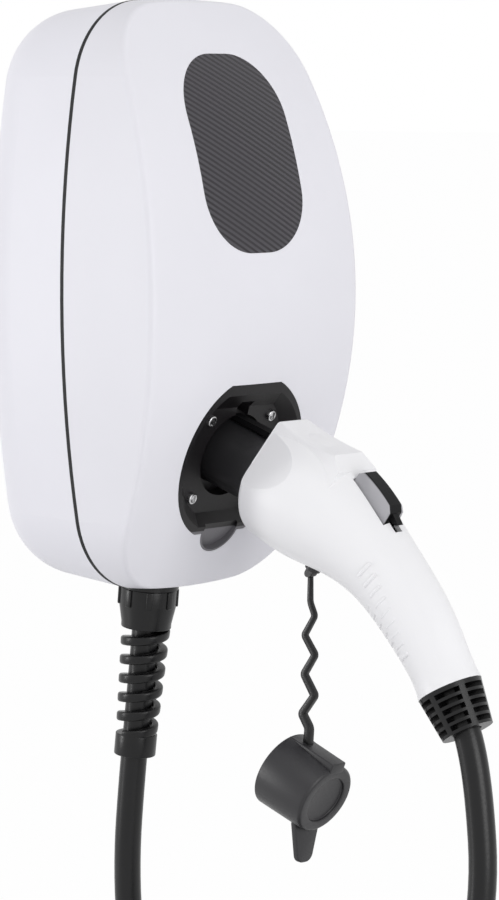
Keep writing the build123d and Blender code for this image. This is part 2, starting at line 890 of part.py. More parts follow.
def handle_radius(along):
    """Radius of the connector's round sections at a distance behind the rim."""
    for near, far in zip(handle_sections, handle_sections[1:]):
        if along <= far[0]:
            share = (along - near[0]) / (far[0] - near[0])
            return near[1] + (far[1] - near[1]) * share
    return handle_end_radius


def grip_grooves():
    """Row of fine grooves across the inner curve of the handle."""
    grooves = []
    for index in range(groove_count):
        along = groove_start + index * groove_pitch
        radius = handle_radius(along)
        ring = Torus(radius + groove_radius - groove_depth, groove_radius)
        keep = block((0, -radius * (1 + groove_rise), 0), (4 * radius, 2 * radius, 4 * groove_radius))
        grooves.append(handle_frame(along).location * (ring & keep))
    return grooves


def trigger_frame():
    """Frame of the trigger: X along the handle, Y up, Z across."""
    spot = handle_frame(trigger_at)
    return Plane(origin=spot.origin, x_dir=spot.z_dir, z_dir=spot.x_dir * -1)


def across(frame, outline_points, width):
    """Plate cut to an outline in a frame's XY plane, centred on that plane."""
    return extrude(frame * make_face(Polyline(*outline_points, close=True)), width / 2, both=True)


def pivot_point(x):
    """Point on the trigger's pivot axis."""
    return trigger_frame().from_local_coords(Vector(pivot_along, pivot_up, -x))


def handle_shell():
    """Hollow connector body with its bosses and openings, before it is parted."""
    rim_face = handle_outer.faces().sort_by_distance(handle_frame(0).origin)[0]
    outer = fillet(rim_face.edges(), rim_round) - [rim_flat(-1, 0), rim_flat(1, 0)] + latch_ridge()
    reach = 2 * shoulder_radius
    bosses = []
    for along, up in half_screw_spots:
        boss = rod(on_handle(along, up, -reach), on_handle(along, up, reach), half_boss_radius)
        bosses.append(boss & outer)
    boss_start = lever_width / 2 + pivot_boss_gap
    for side in (-1, 1):
        bosses.append(rod(pivot_point(side * boss_start), pivot_point(side * reach), pivot_eye) & outer)
    flats = [rim_flat(-1, shell_wall), rim_flat(1, shell_wall)]
    shell = outer - (handle_form(shell_wall, front_wall) - flats) + bosses
    return shell - [*handle_openings(reach), *grip_grooves()]


def handle_openings(reach):
    """Cuts through the connector body: pin, nose, trigger slots, latch gate, stud and screws."""
    cuts = [rod(pivot_point(-pivot_half_length), pivot_point(pivot_half_length), pivot_radius + pivot_gap)]
    nose_hole_end = on_dock(0, 0, rim_standoff + front_wall + 1)
    cuts.append(rod(on_dock(0, 0, rim_standoff - 1), nose_hole_end, nose_radius + fit_gap))
    for front, rear, width in [
        (pad_front - trigger_gap, pad_rear + slot_play, trigger_width),
        (pad_front, pad_rear + tail_length + slot_play, tail_width),
    ]:
        top = pad_front_top + trigger_gap
        slot = [(front, pivot_up), (rear, pivot_up - pad_foot), (rear, top), (front, top)]
        cuts.append(across(trigger_frame(), slot, width + 2 * trigger_gap))
    gate = Pos(0, finger_low + finger_thick) * Rectangle(finger_width + 2 * trigger_gap, 3 * finger_thick)
    cuts.append(Pos(dock_out * (rim_standoff - 1)) * extrude(dock_plane * gate, front_wall + 2))
    cuts.append(rod(on_handle(stud_at, -throat_radius - 1), on_handle(stud_at, 0), stud_shank + fit_gap))
    for along, up in half_screw_spots:
        hole = (on_handle(along, up, -half_screw_length), on_handle(along, up, reach))
        cuts.append(rod(*hole, half_screw_radius + fit_gap))
        well = (on_handle(along, up, half_screw_seat()), on_handle(along, up, reach))
        cuts.append(rod(*well, half_screw_head + fit_gap))
    return cuts


def half_screw_seat():
    """Distance of the half screws' seats from the parting plane."""
    return shell_wall + half_screw_head_height


def connector_screws():
    """Screws that draw the two halves of the connector together, from the right."""
    screws = []
    for along, up in half_screw_spots:
        seat = half_screw_seat()
        middle = on_handle(along, up, seat)
        shank = rod(on_handle(along, up, 1 - half_screw_length), middle, half_screw_radius)
        head = rod(middle, on_handle(along, up, seat + half_screw_head_height), half_screw_head)
        screws.append(shank + head)
    return group(screws)


contacts = [
    (-power_contact_x, power_contact_y, power_contact), (power_contact_x, power_contact_y, power_contact),
    (0, earth_contact_y, earth_contact),
    (-pilot_contact_x, pilot_contact_y, pilot_contact), (pilot_contact_x, pilot_contact_y, pilot_contact),
]


def connector_nose():
    """Dark insert that carries the contacts, held by a flange behind the front wall."""
    tip = rim_standoff - nose_length
    flange = rim_standoff + front_wall
    flange_end = flange + nose_flange_thick
    back = rim_standoff + nose_back
    profile = [
        (0, tip), (nose_radius - nose_chamfer, tip), (nose_radius, tip + nose_chamfer), (nose_radius, flange),
        (nose_flange, flange), (nose_flange, flange_end), (nose_radius, flange_end),
        (nose_radius, back), (0, back),
    ]
    body = turned(dock_plane, profile)
    relief = Rectangle(finger_width + 2 * trigger_gap, nose_flange)
    relief = Pos(0, finger_low + nose_flange / 2 - trigger_gap) * relief
    body -= Pos(dock_out * flange) * extrude(dock_plane * relief, nose_flange_thick)
    for x, up, radius in contacts:
        body -= rod(on_dock(x, up, tip), on_dock(x, up, tip + contact_depth), radius)
    return body


def contact_sleeves():
    """Sprung contact sleeves in the nose."""
    tip = rim_standoff - nose_length
    sleeves = []
    for x, up, radius in contacts:
        low = on_dock(x, up, tip + contact_recess)
        high = on_dock(x, up, tip + contact_depth)
        sleeves.append(pipe(low, high, radius - fit_gap, radius - fit_gap - contact_wall))
    return group(sleeves)


def latch_trigger():
    """Thumb pad, lever and latch finger in one moulding."""
    frame = trigger_frame()
    crown_start = (pad_front + 2.5, pad_front_top)
    crown_end = (pad_rear - 2.5, pad_rear_top)
    crown_middle = (
        (crown_start[0] + crown_end[0]) / 2,
        (crown_start[1] + crown_end[1]) / 2 + pad_crown,
    )
    edge = Polyline(
        crown_end, (pad_rear, pad_rear_top - 3), (pad_rear, pad_foot), (pad_front, pad_foot + 6),
        (pad_front, pad_front_top - 2.5), crown_start,
    )
    crown = ThreePointArc(crown_start, crown_middle, crown_end)
    pad = extrude(frame * make_face([edge, crown]), trigger_width / 2, both=True)
    taper_outline = [
        (-trigger_width / 2, pad_foot), (trigger_width / 2, pad_foot),
        (trigger_width / 2, pad_rear_top - 6), (trigger_top_width / 2, pad_front_top + pad_crown),
        (-trigger_top_width / 2, pad_front_top + pad_crown), (-trigger_width / 2, pad_rear_top - 6),
    ]
    taper = handle_frame(trigger_at) * make_face(Polyline(*taper_outline, close=True))
    pad = pad & extrude(taper, 2 * pad_rear, both=True)
    top = frame.from_local_coords(Vector(2, pad_front_top, 0))
    trigger = fillet(pad.edges().sort_by_distance(top)[:2], pad_round)
    tail_tip = pad_rear + tail_length
    tail_outline = [
        (pad_rear - 1, pad_rear_top - 3), (tail_tip, pad_rear_top - tail_height - 1.5),
        (tail_tip - 1, pad_rear_top - tail_height - 2.5), (pad_rear - 1, pad_rear_top - 3 - tail_height),
    ]
    trigger += across(frame, tail_outline, tail_width)
    lever_outline = [
        (pad_front + 1, pad_foot + 8.5), (pad_front + 8, pad_foot + 4), (pivot_along, pivot_up - pivot_eye),
        (pivot_along - pivot_eye, pivot_up), (pivot_along, pivot_up + pivot_eye),
    ]
    trigger += across(frame, lever_outline, lever_width)
    trigger += rod(pivot_point(-lever_width / 2), pivot_point(lever_width / 2), pivot_eye)
    trigger += finger()
    return trigger - rod(pivot_point(-lever_width), pivot_point(lever_width), pivot_radius + pivot_gap)


def finger():
    """Latch finger from the pivot forward over the nose into the dock's keeper."""
    eye = dock_plane.to_local_coords(pivot_point(0))
    top = finger_low + finger_thick
    points = [
        (eye.Z, eye.Y - pivot_eye + 1), (eye.Z, eye.Y + pivot_eye - 1), (rim_standoff + front_wall, top),
        (rim_standoff - finger_reach, top), (rim_standoff - finger_reach, finger_low),
        (rim_standoff + nose_back + trigger_gap, finger_low),
    ]
    frame = Plane(origin=dock_plane.origin, x_dir=dock_out, z_dir=(-1, 0, 0))
    return across(frame, points, finger_width)


def trigger_pin():
    """Pin that the trigger turns on, held in both halves."""
    return rod(pivot_point(-pivot_half_length), pivot_point(pivot_half_length), pivot_radius)


def trigger_spring():
    """Leaf spring under the pad, on the lower boss."""
    frame = trigger_frame()
    boss = frame.to_local_coords(on_handle(*half_screw_spots[1]))
    foot = boss.Y + half_boss_radius + fit_gap
    head = pad_foot - fit_gap
    under = head - spring_thick
    over = foot + spring_thick
    points = [
        (boss.X - 4, foot), (boss.X + 4, foot), (pad_rear - 4, under), (pad_rear, under),
        (pad_rear, head), (pad_rear - 4, head), (boss.X + 3, over), (boss.X - 4, over),
    ]
    return across(frame, points, spring_width)


def cable_clamp():
    """Clamp ring on the lead inside the handle."""
    ring = (cable_radius + cable_gap + clamp_wall, cable_radius + cable_gap)
    return pipe(on_tail(-clamp_back - clamp_length), on_tail(-clamp_back), *ring)


def relief_nut():
    """Slotted bend relief: rings joined by ribs round a thin core."""
    bore = cable_radius + cable_gap
    slope = (relief_top - relief_tip) / relief_length
    pitch = (relief_length - relief_collar) / relief_rows
    profile = [(bore, -relief_spigot_length), (relief_spigot, -relief_spigot_length)]
    profile += [(relief_spigot, 0), (relief_top, 0)]
    for row in range(relief_rows):
        low = relief_collar + row * pitch
        high = low + relief_slot
        profile += [(relief_top - slope * low, low), (relief_core, low)]
        profile += [(relief_core, high), (relief_top - slope * high, high)]
    profile += [(relief_tip, relief_length), (bore, relief_length)]
    nut = turned(Plane.XY, profile)
    cone_side = [(relief_core, 0), (relief_top, 0), (relief_tip, relief_length)]
    cone = turned(Plane.XY, [*cone_side, (relief_core, relief_length)])
    for index in range(relief_ribs):
        rib = block((relief_top / 2, 0, relief_length / 2), (relief_top, relief_rib_width, relief_length))
        nut += Rot(0, 0, index * 360 / relief_ribs) * rib & cone
    return handle_frame(handle_length).location * nut


# Dust cap

def stud_frame():
    """Frame of the strap's stud: X along the handle, Y outward under it, Z across."""
    spot = handle_frame(stud_at)
    return Plane(origin=on_handle(stud_at, -throat_radius), x_dir=spot.z_dir, z_dir=spot.x_dir)


def strap_pivot(x):
    """Point on the axis that the strap swings about."""
    base = stud_frame().origin
    return base + Vector(x, 0, 0) + stud_frame().y_dir * stud_drop


def strap_stud():
    """Stud pushed into the connector's underside, with two ears and a pin for the strap's eye."""
    base = stud_frame().origin
    down = stud_frame().y_dir
    outside = rod(base - down * 2, base + down * stud_plate_thick, stud_plate)
    ear_radius = stud_pin + stud_ear_wall
    for side in (-1, 1):
        near = side * stud_ear_gap
        far = side * (stud_ear_gap + stud_ear_thick)
        web = block((0, 0, 0), (stud_ear_thick, 2 * ear_radius, stud_drop))
        web_middle = strap_pivot((near + far) / 2) - down * (stud_drop / 2)
        middle = Plane(origin=web_middle, x_dir=(1, 0, 0), z_dir=down)
        outside += rod(strap_pivot(near), strap_pivot(far), ear_radius) + middle.location * web
    inside = shell_wall + stud_barb_gap
    stud = outside - handle_outer
    stud += rod(base - down * (inside + stud_plate_thick), base + down * (stud_plate_thick / 2), stud_shank)
    stud += rod(base - down * (inside + stud_plate_thick), base - down * inside, stud_barb)
    return stud + rod(strap_pivot(-stud_ear_gap), strap_pivot(stud_ear_gap), stud_pin)


def cap_frame():
    """Frame of the cap: X across, Y up, Z out of its closed end, origin on the closed face."""
    angle = math.radians(cap_tilt)
    out = (0, -math.cos(angle), -math.sin(angle))
    face_middle = strap_pivot(0) - Vector(0, cap_ahead, cap_drop)
    return Plane(origin=face_middle, x_dir=(1, 0, 0), z_dir=out)


def strap_line():
    """Corners of the strap's zigzag in the middle plane, from the eye down to the cap's bar."""
    top = strap_pivot(0)
    bar = cap_frame().from_local_coords(Vector(0, cap_radius + bar_height / 2, -cap_length * 0.72))
    corners = [(top.Y, top.Z - eye_radius / 2)]
    steps = [
        (0.0, 0.17), (-3.0, 0.25), (3.4, 0.37), (-3.4, 0.48),
        (3.4, 0.60), (-3.4, 0.72), (4.0, 0.84), (0.5, 0.92),
    ]
    for aside, share in steps:
        corners.append((top.Y + (bar.Y - top.Y) * share + aside, top.Z + (bar.Z - top.Z) * share))
    corners.append((bar.Y, bar.Z))
    return corners


def dust_cap():
    """Cap with its top bar, pull tab and zigzag strap, moulded in one piece."""
    frame = cap_frame()
    bore = cap_radius - cap_wall
    profile = [
        (0, -cap_recess), (cap_recess_radius, -cap_recess), (cap_recess_radius, 0),
        (cap_radius - 1, 0), (cap_radius, -1), (cap_radius, -cap_length), (bore, -cap_length),
        (bore, -cap_floor - cap_recess), (0, -cap_floor - cap_recess),
    ]
    cap = turned(frame, profile)
    bar = block((0, cap_radius, -cap_length / 2), (bar_width, 2 * bar_height, cap_length))
    cap += frame.location * (bar - rod((0, 0, 0), (0, 0, -cap_length), cap_radius - cap_wall / 2))
    tab_outline = [
        (-tab_width / 2, -cap_radius + 2), (tab_width / 2, -cap_radius + 2),
        (tab_tip_width / 2, -cap_radius - tab_length), (-tab_tip_width / 2, -cap_radius - tab_length),
    ]
    tab = extrude(make_face(Polyline(*tab_outline, close=True)), -tab_thick)
    tab = fillet(tab.edges().filter_by(Axis.Z).sort_by(Axis.Y)[:2], tab_tip_width / 3)
    root = Pos(0, -cap_radius + 2, 0)
    tab = root * (Rot(tab_bend, 0, 0) * (root.inverse() * tab))
    cap += frame.location * (tab - rod((0, 0, 0), (0, 0, -cap_length), cap_radius - cap_wall))
    strap = trace(Polyline(*strap_line()), strap_width)
    cap += extrude(Plane.YZ * strap, strap_thick / 2, both=True)
    cap += rod(strap_pivot(-eye_half_width), strap_pivot(eye_half_width), eye_radius)
    return cap - rod(strap_pivot(-eye_half_width), strap_pivot(eye_half_width), stud_pin + pivot_gap)


# Charging cable

def cable_tube(points, name):
    """Tube along straight runs joined by arcs as large as their runs allow; prints the radii."""
    points = [Vector(*point) for point in points]
    radii = []
    for before, corner, after in zip(points, points[1:], points[2:]):
        turn = (corner - before).get_angle(after - corner)
        shorter = min((corner - before).length, (after - corner).length)
        radii.append(0.45 * shorter / math.tan(math.radians(turn) / 2))
    line = FilletPolyline(*points, radius=radii)
    tube = sweep(Plane(origin=points[0], z_dir=points[1] - points[0]) * Circle(cable_radius), line)
    share = tube.volume / (math.pi * cable_radius**2 * line.length)
    rounded = [round(radius) for radius in radii]
    print(name, "radii", rounded, "length", round(line.length), "volume", round(share, 3))
    return tube


def cable_box_side():
    """Lead from inside the box, through the gland and down to the coil."""
    return cable_tube([on_gland(-cable_inside), *box_side_route], "cable_box_side")


def cable_connector_side():
    """Lead from inside the handle, through the bend relief and down to the coil."""
    inside = [on_tail(-cable_in_handle), on_tail(relief_length + 8)]
    below = [on_tail(0) + Vector(*step) for step in handle_side_route]
    return cable_tube([*inside, *below, *connector_side_route], "cable_connector_side")


bundle_spin = Axis((0, bundle_y, bundle_z), (1, 0, 0))


def bundle_section(grow):
    """Section of the coiled cable, in the plane of the coil's axis."""
    width = bundle_right - bundle_left + 2 * grow
    height = bundle_outer - bundle_inner + 2 * grow
    middle = ((bundle_left + bundle_right) / 2, bundle_z + (bundle_inner + bundle_outer) / 2)
    frame = Plane(origin=(0, bundle_y, 0), x_dir=(1, 0, 0), z_dir=(0, -1, 0))
    return frame * (Pos(*middle) * RectangleRounded(width, height, bundle_round + grow))


def cable_coil():
    """Outer shape of the spare length, wound into a round coil."""
    return revolve(bundle_section(0), bundle_spin)


def coil_ties():
    """Straps round the coil."""
    band = bundle_section(tie_thick + tie_gap) - bundle_section(tie_gap)
    tie = revolve(band, bundle_spin, tie_arc)
    return group([tie.rotate(bundle_spin, angle - 90 - tie_arc / 2) for angle in tie_angles])


handle_outer = handle_form(0, 0)
whole_handle = handle_shell()

nodes = {
    "rear_shell": rear_shell(),
    "front_shell": front_shell(),
    "seam_gasket": seam_gasket(),
    "shell_screws": shell_screws(),
    "supply_grommet": supply_grommet(),
    "status_window": status_window(),
    "light_pipe": light_pipe(),
    "light_board": light_board(),
    "dock_liner": dock_liner(),
    "dock_screws": dock_screws(),
    "main_board": main_board(),
    "board_screws": board_screws(),
    "power_relays": power_relays(),
    "power_supply": power_supply(),
    "capacitors": capacitors(),
    "leakage_sensor": leakage_sensor(),
    "terminal_block": terminal_block(),
    "output_wires": output_wires(),
    "gland_body": gland_body(),
    "gland_locknut": gland_locknut(),
    "gland_seal": gland_seal(),
    "gland_spiral_nut": gland_spiral_nut(),
    "connector_shell_left": split(whole_handle, bisect_by=Plane.YZ, keep=Keep.BOTTOM),
    "connector_shell_right": split(whole_handle, bisect_by=Plane.YZ, keep=Keep.TOP),
    "connector_screws": connector_screws(),
    "connector_nose": connector_nose(),
    "contact_sleeves": contact_sleeves(),
    "latch_trigger": latch_trigger(),
    "trigger_pin": trigger_pin(),
    "trigger_spring": trigger_spring(),
    "cable_clamp": cable_clamp(),
    "relief_nut": relief_nut(),
    "strap_stud": strap_stud(),
    "dust_cap": dust_cap(),
    "cable_box_side": cable_box_side(),
    "cable_coil": cable_coil(),
    "coil_ties": coil_ties(),
    "cable_connector_side": cable_connector_side(),
}

os.makedirs("parts", exist_ok=True)
for name, shape in nodes.items():
    export_step(shape, f"parts/{name}.step")
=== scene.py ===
import bpy, bmesh, math
from mathutils import Matrix, Vector


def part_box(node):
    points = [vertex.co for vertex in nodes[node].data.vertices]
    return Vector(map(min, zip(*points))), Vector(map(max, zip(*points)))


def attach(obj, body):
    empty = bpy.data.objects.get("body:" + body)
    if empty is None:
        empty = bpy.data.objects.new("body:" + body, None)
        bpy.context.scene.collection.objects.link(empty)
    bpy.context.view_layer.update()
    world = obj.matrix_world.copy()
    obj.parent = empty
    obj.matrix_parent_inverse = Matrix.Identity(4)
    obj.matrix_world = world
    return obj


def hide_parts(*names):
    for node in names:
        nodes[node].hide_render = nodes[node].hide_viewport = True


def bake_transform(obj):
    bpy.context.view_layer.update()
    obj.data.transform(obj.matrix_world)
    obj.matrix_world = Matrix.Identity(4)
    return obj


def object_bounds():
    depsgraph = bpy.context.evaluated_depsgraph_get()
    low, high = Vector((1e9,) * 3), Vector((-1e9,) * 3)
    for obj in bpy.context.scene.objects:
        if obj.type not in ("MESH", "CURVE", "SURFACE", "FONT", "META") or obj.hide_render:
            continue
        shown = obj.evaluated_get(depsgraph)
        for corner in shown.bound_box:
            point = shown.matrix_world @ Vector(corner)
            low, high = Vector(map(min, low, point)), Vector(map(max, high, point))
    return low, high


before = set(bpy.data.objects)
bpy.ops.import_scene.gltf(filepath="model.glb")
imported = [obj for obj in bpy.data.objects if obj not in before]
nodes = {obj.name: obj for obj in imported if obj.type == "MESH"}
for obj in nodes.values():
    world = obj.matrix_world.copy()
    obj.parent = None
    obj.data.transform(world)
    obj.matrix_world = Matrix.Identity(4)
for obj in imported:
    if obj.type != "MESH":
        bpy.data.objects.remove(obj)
cadLow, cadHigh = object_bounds()
mm = 0.001
white = (1, 1, 1, 1)

# Camera in millimetres, light and floor in metres
cameraSet = {
    "place": (-1421.03, -1349.5, 103.76),
    "aim": (20.79, -102.24, -77.06),
    "lens": 154.7, "sensor": 36.0,
}


def addCamera():
    data = bpy.data.cameras.new("photoCamera")
    data.lens = cameraSet["lens"]
    data.sensor_width = cameraSet["sensor"]
    camera = bpy.data.objects.new("photoCamera", data)
    place, aim = Vector(cameraSet["place"]) * mm, Vector(cameraSet["aim"]) * mm
    camera.location = place
    camera.rotation_mode = "QUATERNION"
    camera.rotation_quaternion = (aim - place).to_track_quat("-Z", "Y")
    bpy.context.scene.collection.objects.link(camera)
    bpy.context.scene.camera = camera


lightSet = {
    "worldStrength": 0.64, "worldColour": (0.97, 0.97, 1.0, 1),
    "lamps": [  # name, place, aim, width, height, watts
        ("leftStrip", (-1.45, 1.35, 0.0), (0, -0.1, -0.15), 0.3, 1.0, 12.5),
        ("frontSoftbox", (-0.35, -2.1, 0.1), (0, -0.1, -0.15), 1.3, 1.3, 14.5),
        ("upperFill", (-1.2, -0.9, 1.5), (0, -0.15, -0.1), 1.2, 1.2, 5.5),
    ],
}


def addLights():
    world = bpy.data.worlds.new("studioWorld")
    bpy.context.scene.world = world
    world.use_nodes = True
    tree = world.node_tree
    tree.nodes.clear()
    out = tree.nodes.new("ShaderNodeOutputWorld")
    mix = tree.nodes.new("ShaderNodeMixShader")
    soft = tree.nodes.new("ShaderNodeBackground")
    seen = tree.nodes.new("ShaderNodeBackground")
    soft.inputs["Color"].default_value = lightSet["worldColour"]
    soft.inputs["Strength"].default_value = lightSet["worldStrength"]
    seen.inputs["Color"].default_value = white
    seen.inputs["Strength"].default_value = 1.0
    tree.links.new(seenRays(tree), mix.inputs[0])
    tree.links.new(soft.outputs[0], mix.inputs[1])
    tree.links.new(seen.outputs[0], mix.inputs[2])
    tree.links.new(mix.outputs[0], out.inputs[0])
    for name, place, aim, width, height, watts in lightSet["lamps"]:
        lamp = bpy.data.lights.new(name, "AREA")
        lamp.shape = "ELLIPSE"
        lamp.size = width
        lamp.size_y = height
        lamp.energy = watts
        obj = bpy.data.objects.new(name, lamp)
        obj.location = place
        obj.rotation_mode = "QUATERNION"
        obj.rotation_quaternion = (Vector(aim) - Vector(place)).to_track_quat("-Z", "Y")
        bpy.context.scene.collection.objects.link(obj)


def seenRays(tree):  # 1 for rays that show the background: straight, mirrored or through glass
    path = tree.nodes.new("ShaderNodeLightPath")
    first = tree.nodes.new("ShaderNodeMath")
    first.operation = "MAXIMUM"
    second = tree.nodes.new("ShaderNodeMath")
    second.operation = "MAXIMUM"
    tree.links.new(path.outputs["Is Camera Ray"], first.inputs[0])
    tree.links.new(path.outputs["Is Glossy Ray"], first.inputs[1])
    tree.links.new(first.outputs[0], second.inputs[0])
    tree.links.new(path.outputs["Is Transmission Ray"], second.inputs[1])
    return second.outputs[0]


floorSet = {"drop": 0.03, "size": 40.0, "colour": (0.8, 0.8, 0.81, 1), "whiteShare": 0.98}


def addFloor():
    bm = bmesh.new()
    bmesh.ops.create_grid(bm, x_segments=1, y_segments=1, size=floorSet["size"])
    bmesh.ops.translate(bm, verts=bm.verts, vec=(0, 0, cadLow.z - floorSet["drop"]))
    floor = linkMesh("studioFloor", bm)
    material = bpy.data.materials.new("studioFloor")
    material.use_nodes = True
    tree = material.node_tree
    tree.nodes.clear()
    out = tree.nodes.new("ShaderNodeOutputMaterial")
    mix = tree.nodes.new("ShaderNodeMixShader")
    share = tree.nodes.new("ShaderNodeMath")
    share.operation = "MULTIPLY"
    share.inputs[1].default_value = floorSet["whiteShare"]
    matt = tree.nodes.new("ShaderNodeBsdfDiffuse")
    matt.inputs["Color"].default_value = floorSet["colour"]
    glow = tree.nodes.new("ShaderNodeEmission")
    glow.inputs["Color"].default_value = white
    tree.links.new(seenRays(tree), share.inputs[0])
    tree.links.new(share.outputs[0], mix.inputs[0])
    tree.links.new(matt.outputs[0], mix.inputs[1])
    tree.links.new(glow.outputs[0], mix.inputs[2])
    tree.links.new(mix.outputs[0], out.inputs[0])
    floor.data.materials.append(material)


# Small helpers for the pieces, with angles in degrees and lengths in millimetres
meshSet = {"sharp": 30.0, "smooth": 40.0, "merge": 0.0005}


def linkMesh(name, bm):
    mesh = bpy.data.meshes.new(name)
    bm.to_mesh(mesh)
    bm.free()
    obj = bpy.data.objects.new(name, mesh)
    bpy.context.scene.collection.objects.link(obj)
    return obj


def placed(origin, out, side=(1, 0, 0)):  # from millimetres with Z out and X to the side, to the frame
    zAxis, xAxis = Vector(out).normalized(), Vector(side).normalized()
    facing = Matrix((xAxis, zAxis.cross(xAxis), zAxis)).transposed().to_4x4()
    return Matrix.Translation(Vector(origin) * mm) @ facing @ Matrix.Scale(mm, 4)


def pull(bm, faces, move):  # draws copies of faces out along move; the first ones stay where they are
    made = bmesh.ops.extrude_face_region(bm, geom=faces)["geom"]
    bmesh.ops.translate(bm, verts=[g for g in made if isinstance(g, bmesh.types.BMVert)], vec=move)
    return [g for g in made if isinstance(g, bmesh.types.BMFace)]


def soften(bm, edges, width, segments=3):
    bmesh.ops.bevel(bm, geom=edges, offset=width, offset_type="OFFSET", segments=segments, profile=0.5,
                    affect="EDGES", material=-1, clamp_overlap=True)


def roundCorners(bm, corners, width, segments):
    bmesh.ops.bevel(bm, geom=corners, offset=width, offset_type="OFFSET", segments=segments, profile=0.5,
                    affect="VERTICES", material=-1)


def edgesAt(verts):  # each edge once, in a fixed order
    return list(dict.fromkeys(e for v in verts for e in v.link_edges))


def sharpEdges(bm):
    least = math.radians(meshSet["sharp"])
    return [e for e in bm.edges if e.is_manifold and e.calc_face_angle(0) > least]


def turn(bm, points, steps):  # closed line of radius and height, spun round Z
    corners = [bm.verts.new((radius, 0, height)) for radius, height in points]
    edges = [bm.edges.new(pair) for pair in zip(corners, corners[1:] + corners[:1])]
    before = set(bm.verts) - set(corners)
    bmesh.ops.spin(bm, geom=corners + edges, cent=(0, 0, 0), axis=(0, 0, 1), angle=2 * math.pi,
                   steps=steps, use_merge=True)
    bmesh.ops.remove_doubles(bm, verts=[v for v in bm.verts if v not in before], dist=meshSet["merge"])


def finishPiece(name, bm, matrix, material, body, replaced=None):
    bmesh.ops.recalc_face_normals(bm, faces=bm.faces)
    bmesh.ops.transform(bm, matrix=matrix, verts=bm.verts)
    piece = linkMesh(name, bm)
    piece.data.materials.append(material)
    piece.data.shade_smooth()
    piece.data.set_sharp_from_angle(angle=math.radians(meshSet["smooth"]))
    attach(piece, body)
    if replaced:
        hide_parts(replaced)
    return piece


# Finishes, all on Object coordinates in metres
rampSet = {"start": 0.3, "end": 0.7}  # the middle of a noise's grey values


def newMaterial(name, colour, roughness, metallic=0.0):
    material = bpy.data.materials.new(name)
    material.use_nodes = True
    shader = material.node_tree.nodes["Principled BSDF"]
    shader.inputs["Base Color"].default_value = (*colour, 1)
    shader.inputs["Roughness"].default_value = roughness
    shader.inputs["Metallic"].default_value = metallic
    return material, material.node_tree, shader


def noiseOn(tree, scale, detail=3.0, stretch=(1, 1, 1)):
    coords = tree.nodes.new("ShaderNodeTexCoord")
    mapping = tree.nodes.new("ShaderNodeMapping")
    mapping.inputs["Scale"].default_value = stretch
    noise = tree.nodes.new("ShaderNodeTexNoise")
    noise.inputs["Scale"].default_value = scale
    noise.inputs["Detail"].default_value = detail
    tree.links.new(coords.outputs["Object"], mapping.inputs["Vector"])
    tree.links.new(mapping.outputs["Vector"], noise.inputs["Vector"])
    return noise.outputs["Fac"]


def vary(tree, source, low, high, start=rampSet["start"], end=rampSet["end"]):  # a grey as a number
    spread = tree.nodes.new("ShaderNodeMapRange")
    spread.inputs["From Min"].default_value = start
    spread.inputs["From Max"].default_value = end
    spread.inputs["To Min"].default_value = low
    spread.inputs["To Max"].default_value = high
    tree.links.new(source, spread.inputs["Value"])
    return spread.outputs["Result"]


def tint(tree, shader, source, dark, light):  # colour drifting between two close shades
    ramp = tree.nodes.new("ShaderNodeValToRGB")
    ramp.color_ramp.elements[0].position = rampSet["start"]
    ramp.color_ramp.elements[0].color = (*dark, 1)
    ramp.color_ramp.elements[1].position = rampSet["end"]
    ramp.color_ramp.elements[1].color = (*light, 1)
    tree.links.new(source, ramp.inputs["Fac"])
    tree.links.new(ramp.outputs["Color"], shader.inputs["Base Color"])


def addBump(tree, shader, source, depth):
    bump = tree.nodes.new("ShaderNodeBump")
    bump.inputs["Distance"].default_value = depth
    tree.links.new(source, bump.inputs["Height"])
    tree.links.new(bump.outputs["Normal"], shader.inputs["Normal"])


plasticSet = {"broad": 14.0, "detail": 2.0, "smoother": 0.04, "rougher": 0.05}


def mouldedPlastic(name, colour, drift, roughness, gloss, grain, depth):
    material, tree, shader = newMaterial(name, colour, roughness)
    shader.inputs["Specular IOR Level"].default_value = gloss
    broad = noiseOn(tree, plasticSet["broad"], plasticSet["detail"])
    tint(tree, shader, broad, [c * (1 - drift) for c in colour], [c * (1 + drift) for c in colour])
    fine = noiseOn(tree, grain, plasticSet["detail"])
    rough = vary(tree, fine, roughness - plasticSet["smoother"], roughness + plasticSet["rougher"])
    tree.links.new(rough, shader.inputs["Roughness"])
    addBump(tree, shader, fine, depth)
    return material


metalSet = {
    "grain": 900.0, "detail": 3.0, "dark": 0.9, "smoother": 0.06, "rougher": 0.08, "depth": 0.00002,
    "kinds": {  # colour, roughness, stretch of the grain
        "screwSteel": ((0.62, 0.62, 0.63), 0.28, (1, 1, 1)),
        "canMetal": ((0.6, 0.62, 0.64), 0.35, (1, 0.05, 1)),
        "contactBrass": ((0.72, 0.56, 0.28), 0.3, (1, 1, 1)),
    },
}


def brightMetal(name, colour, roughness, stretch):
    material, tree, shader = newMaterial(name, colour, roughness, 1.0)
    streaks = noiseOn(tree, metalSet["grain"], metalSet["detail"], stretch)
    tint(tree, shader, streaks, [c * metalSet["dark"] for c in colour], colour)
    rough = vary(tree, streaks, roughness - metalSet["smoother"], roughness + metalSet["rougher"])
    tree.links.new(rough, shader.inputs["Roughness"])
    addBump(tree, shader, streaks, metalSet["depth"])
    return material


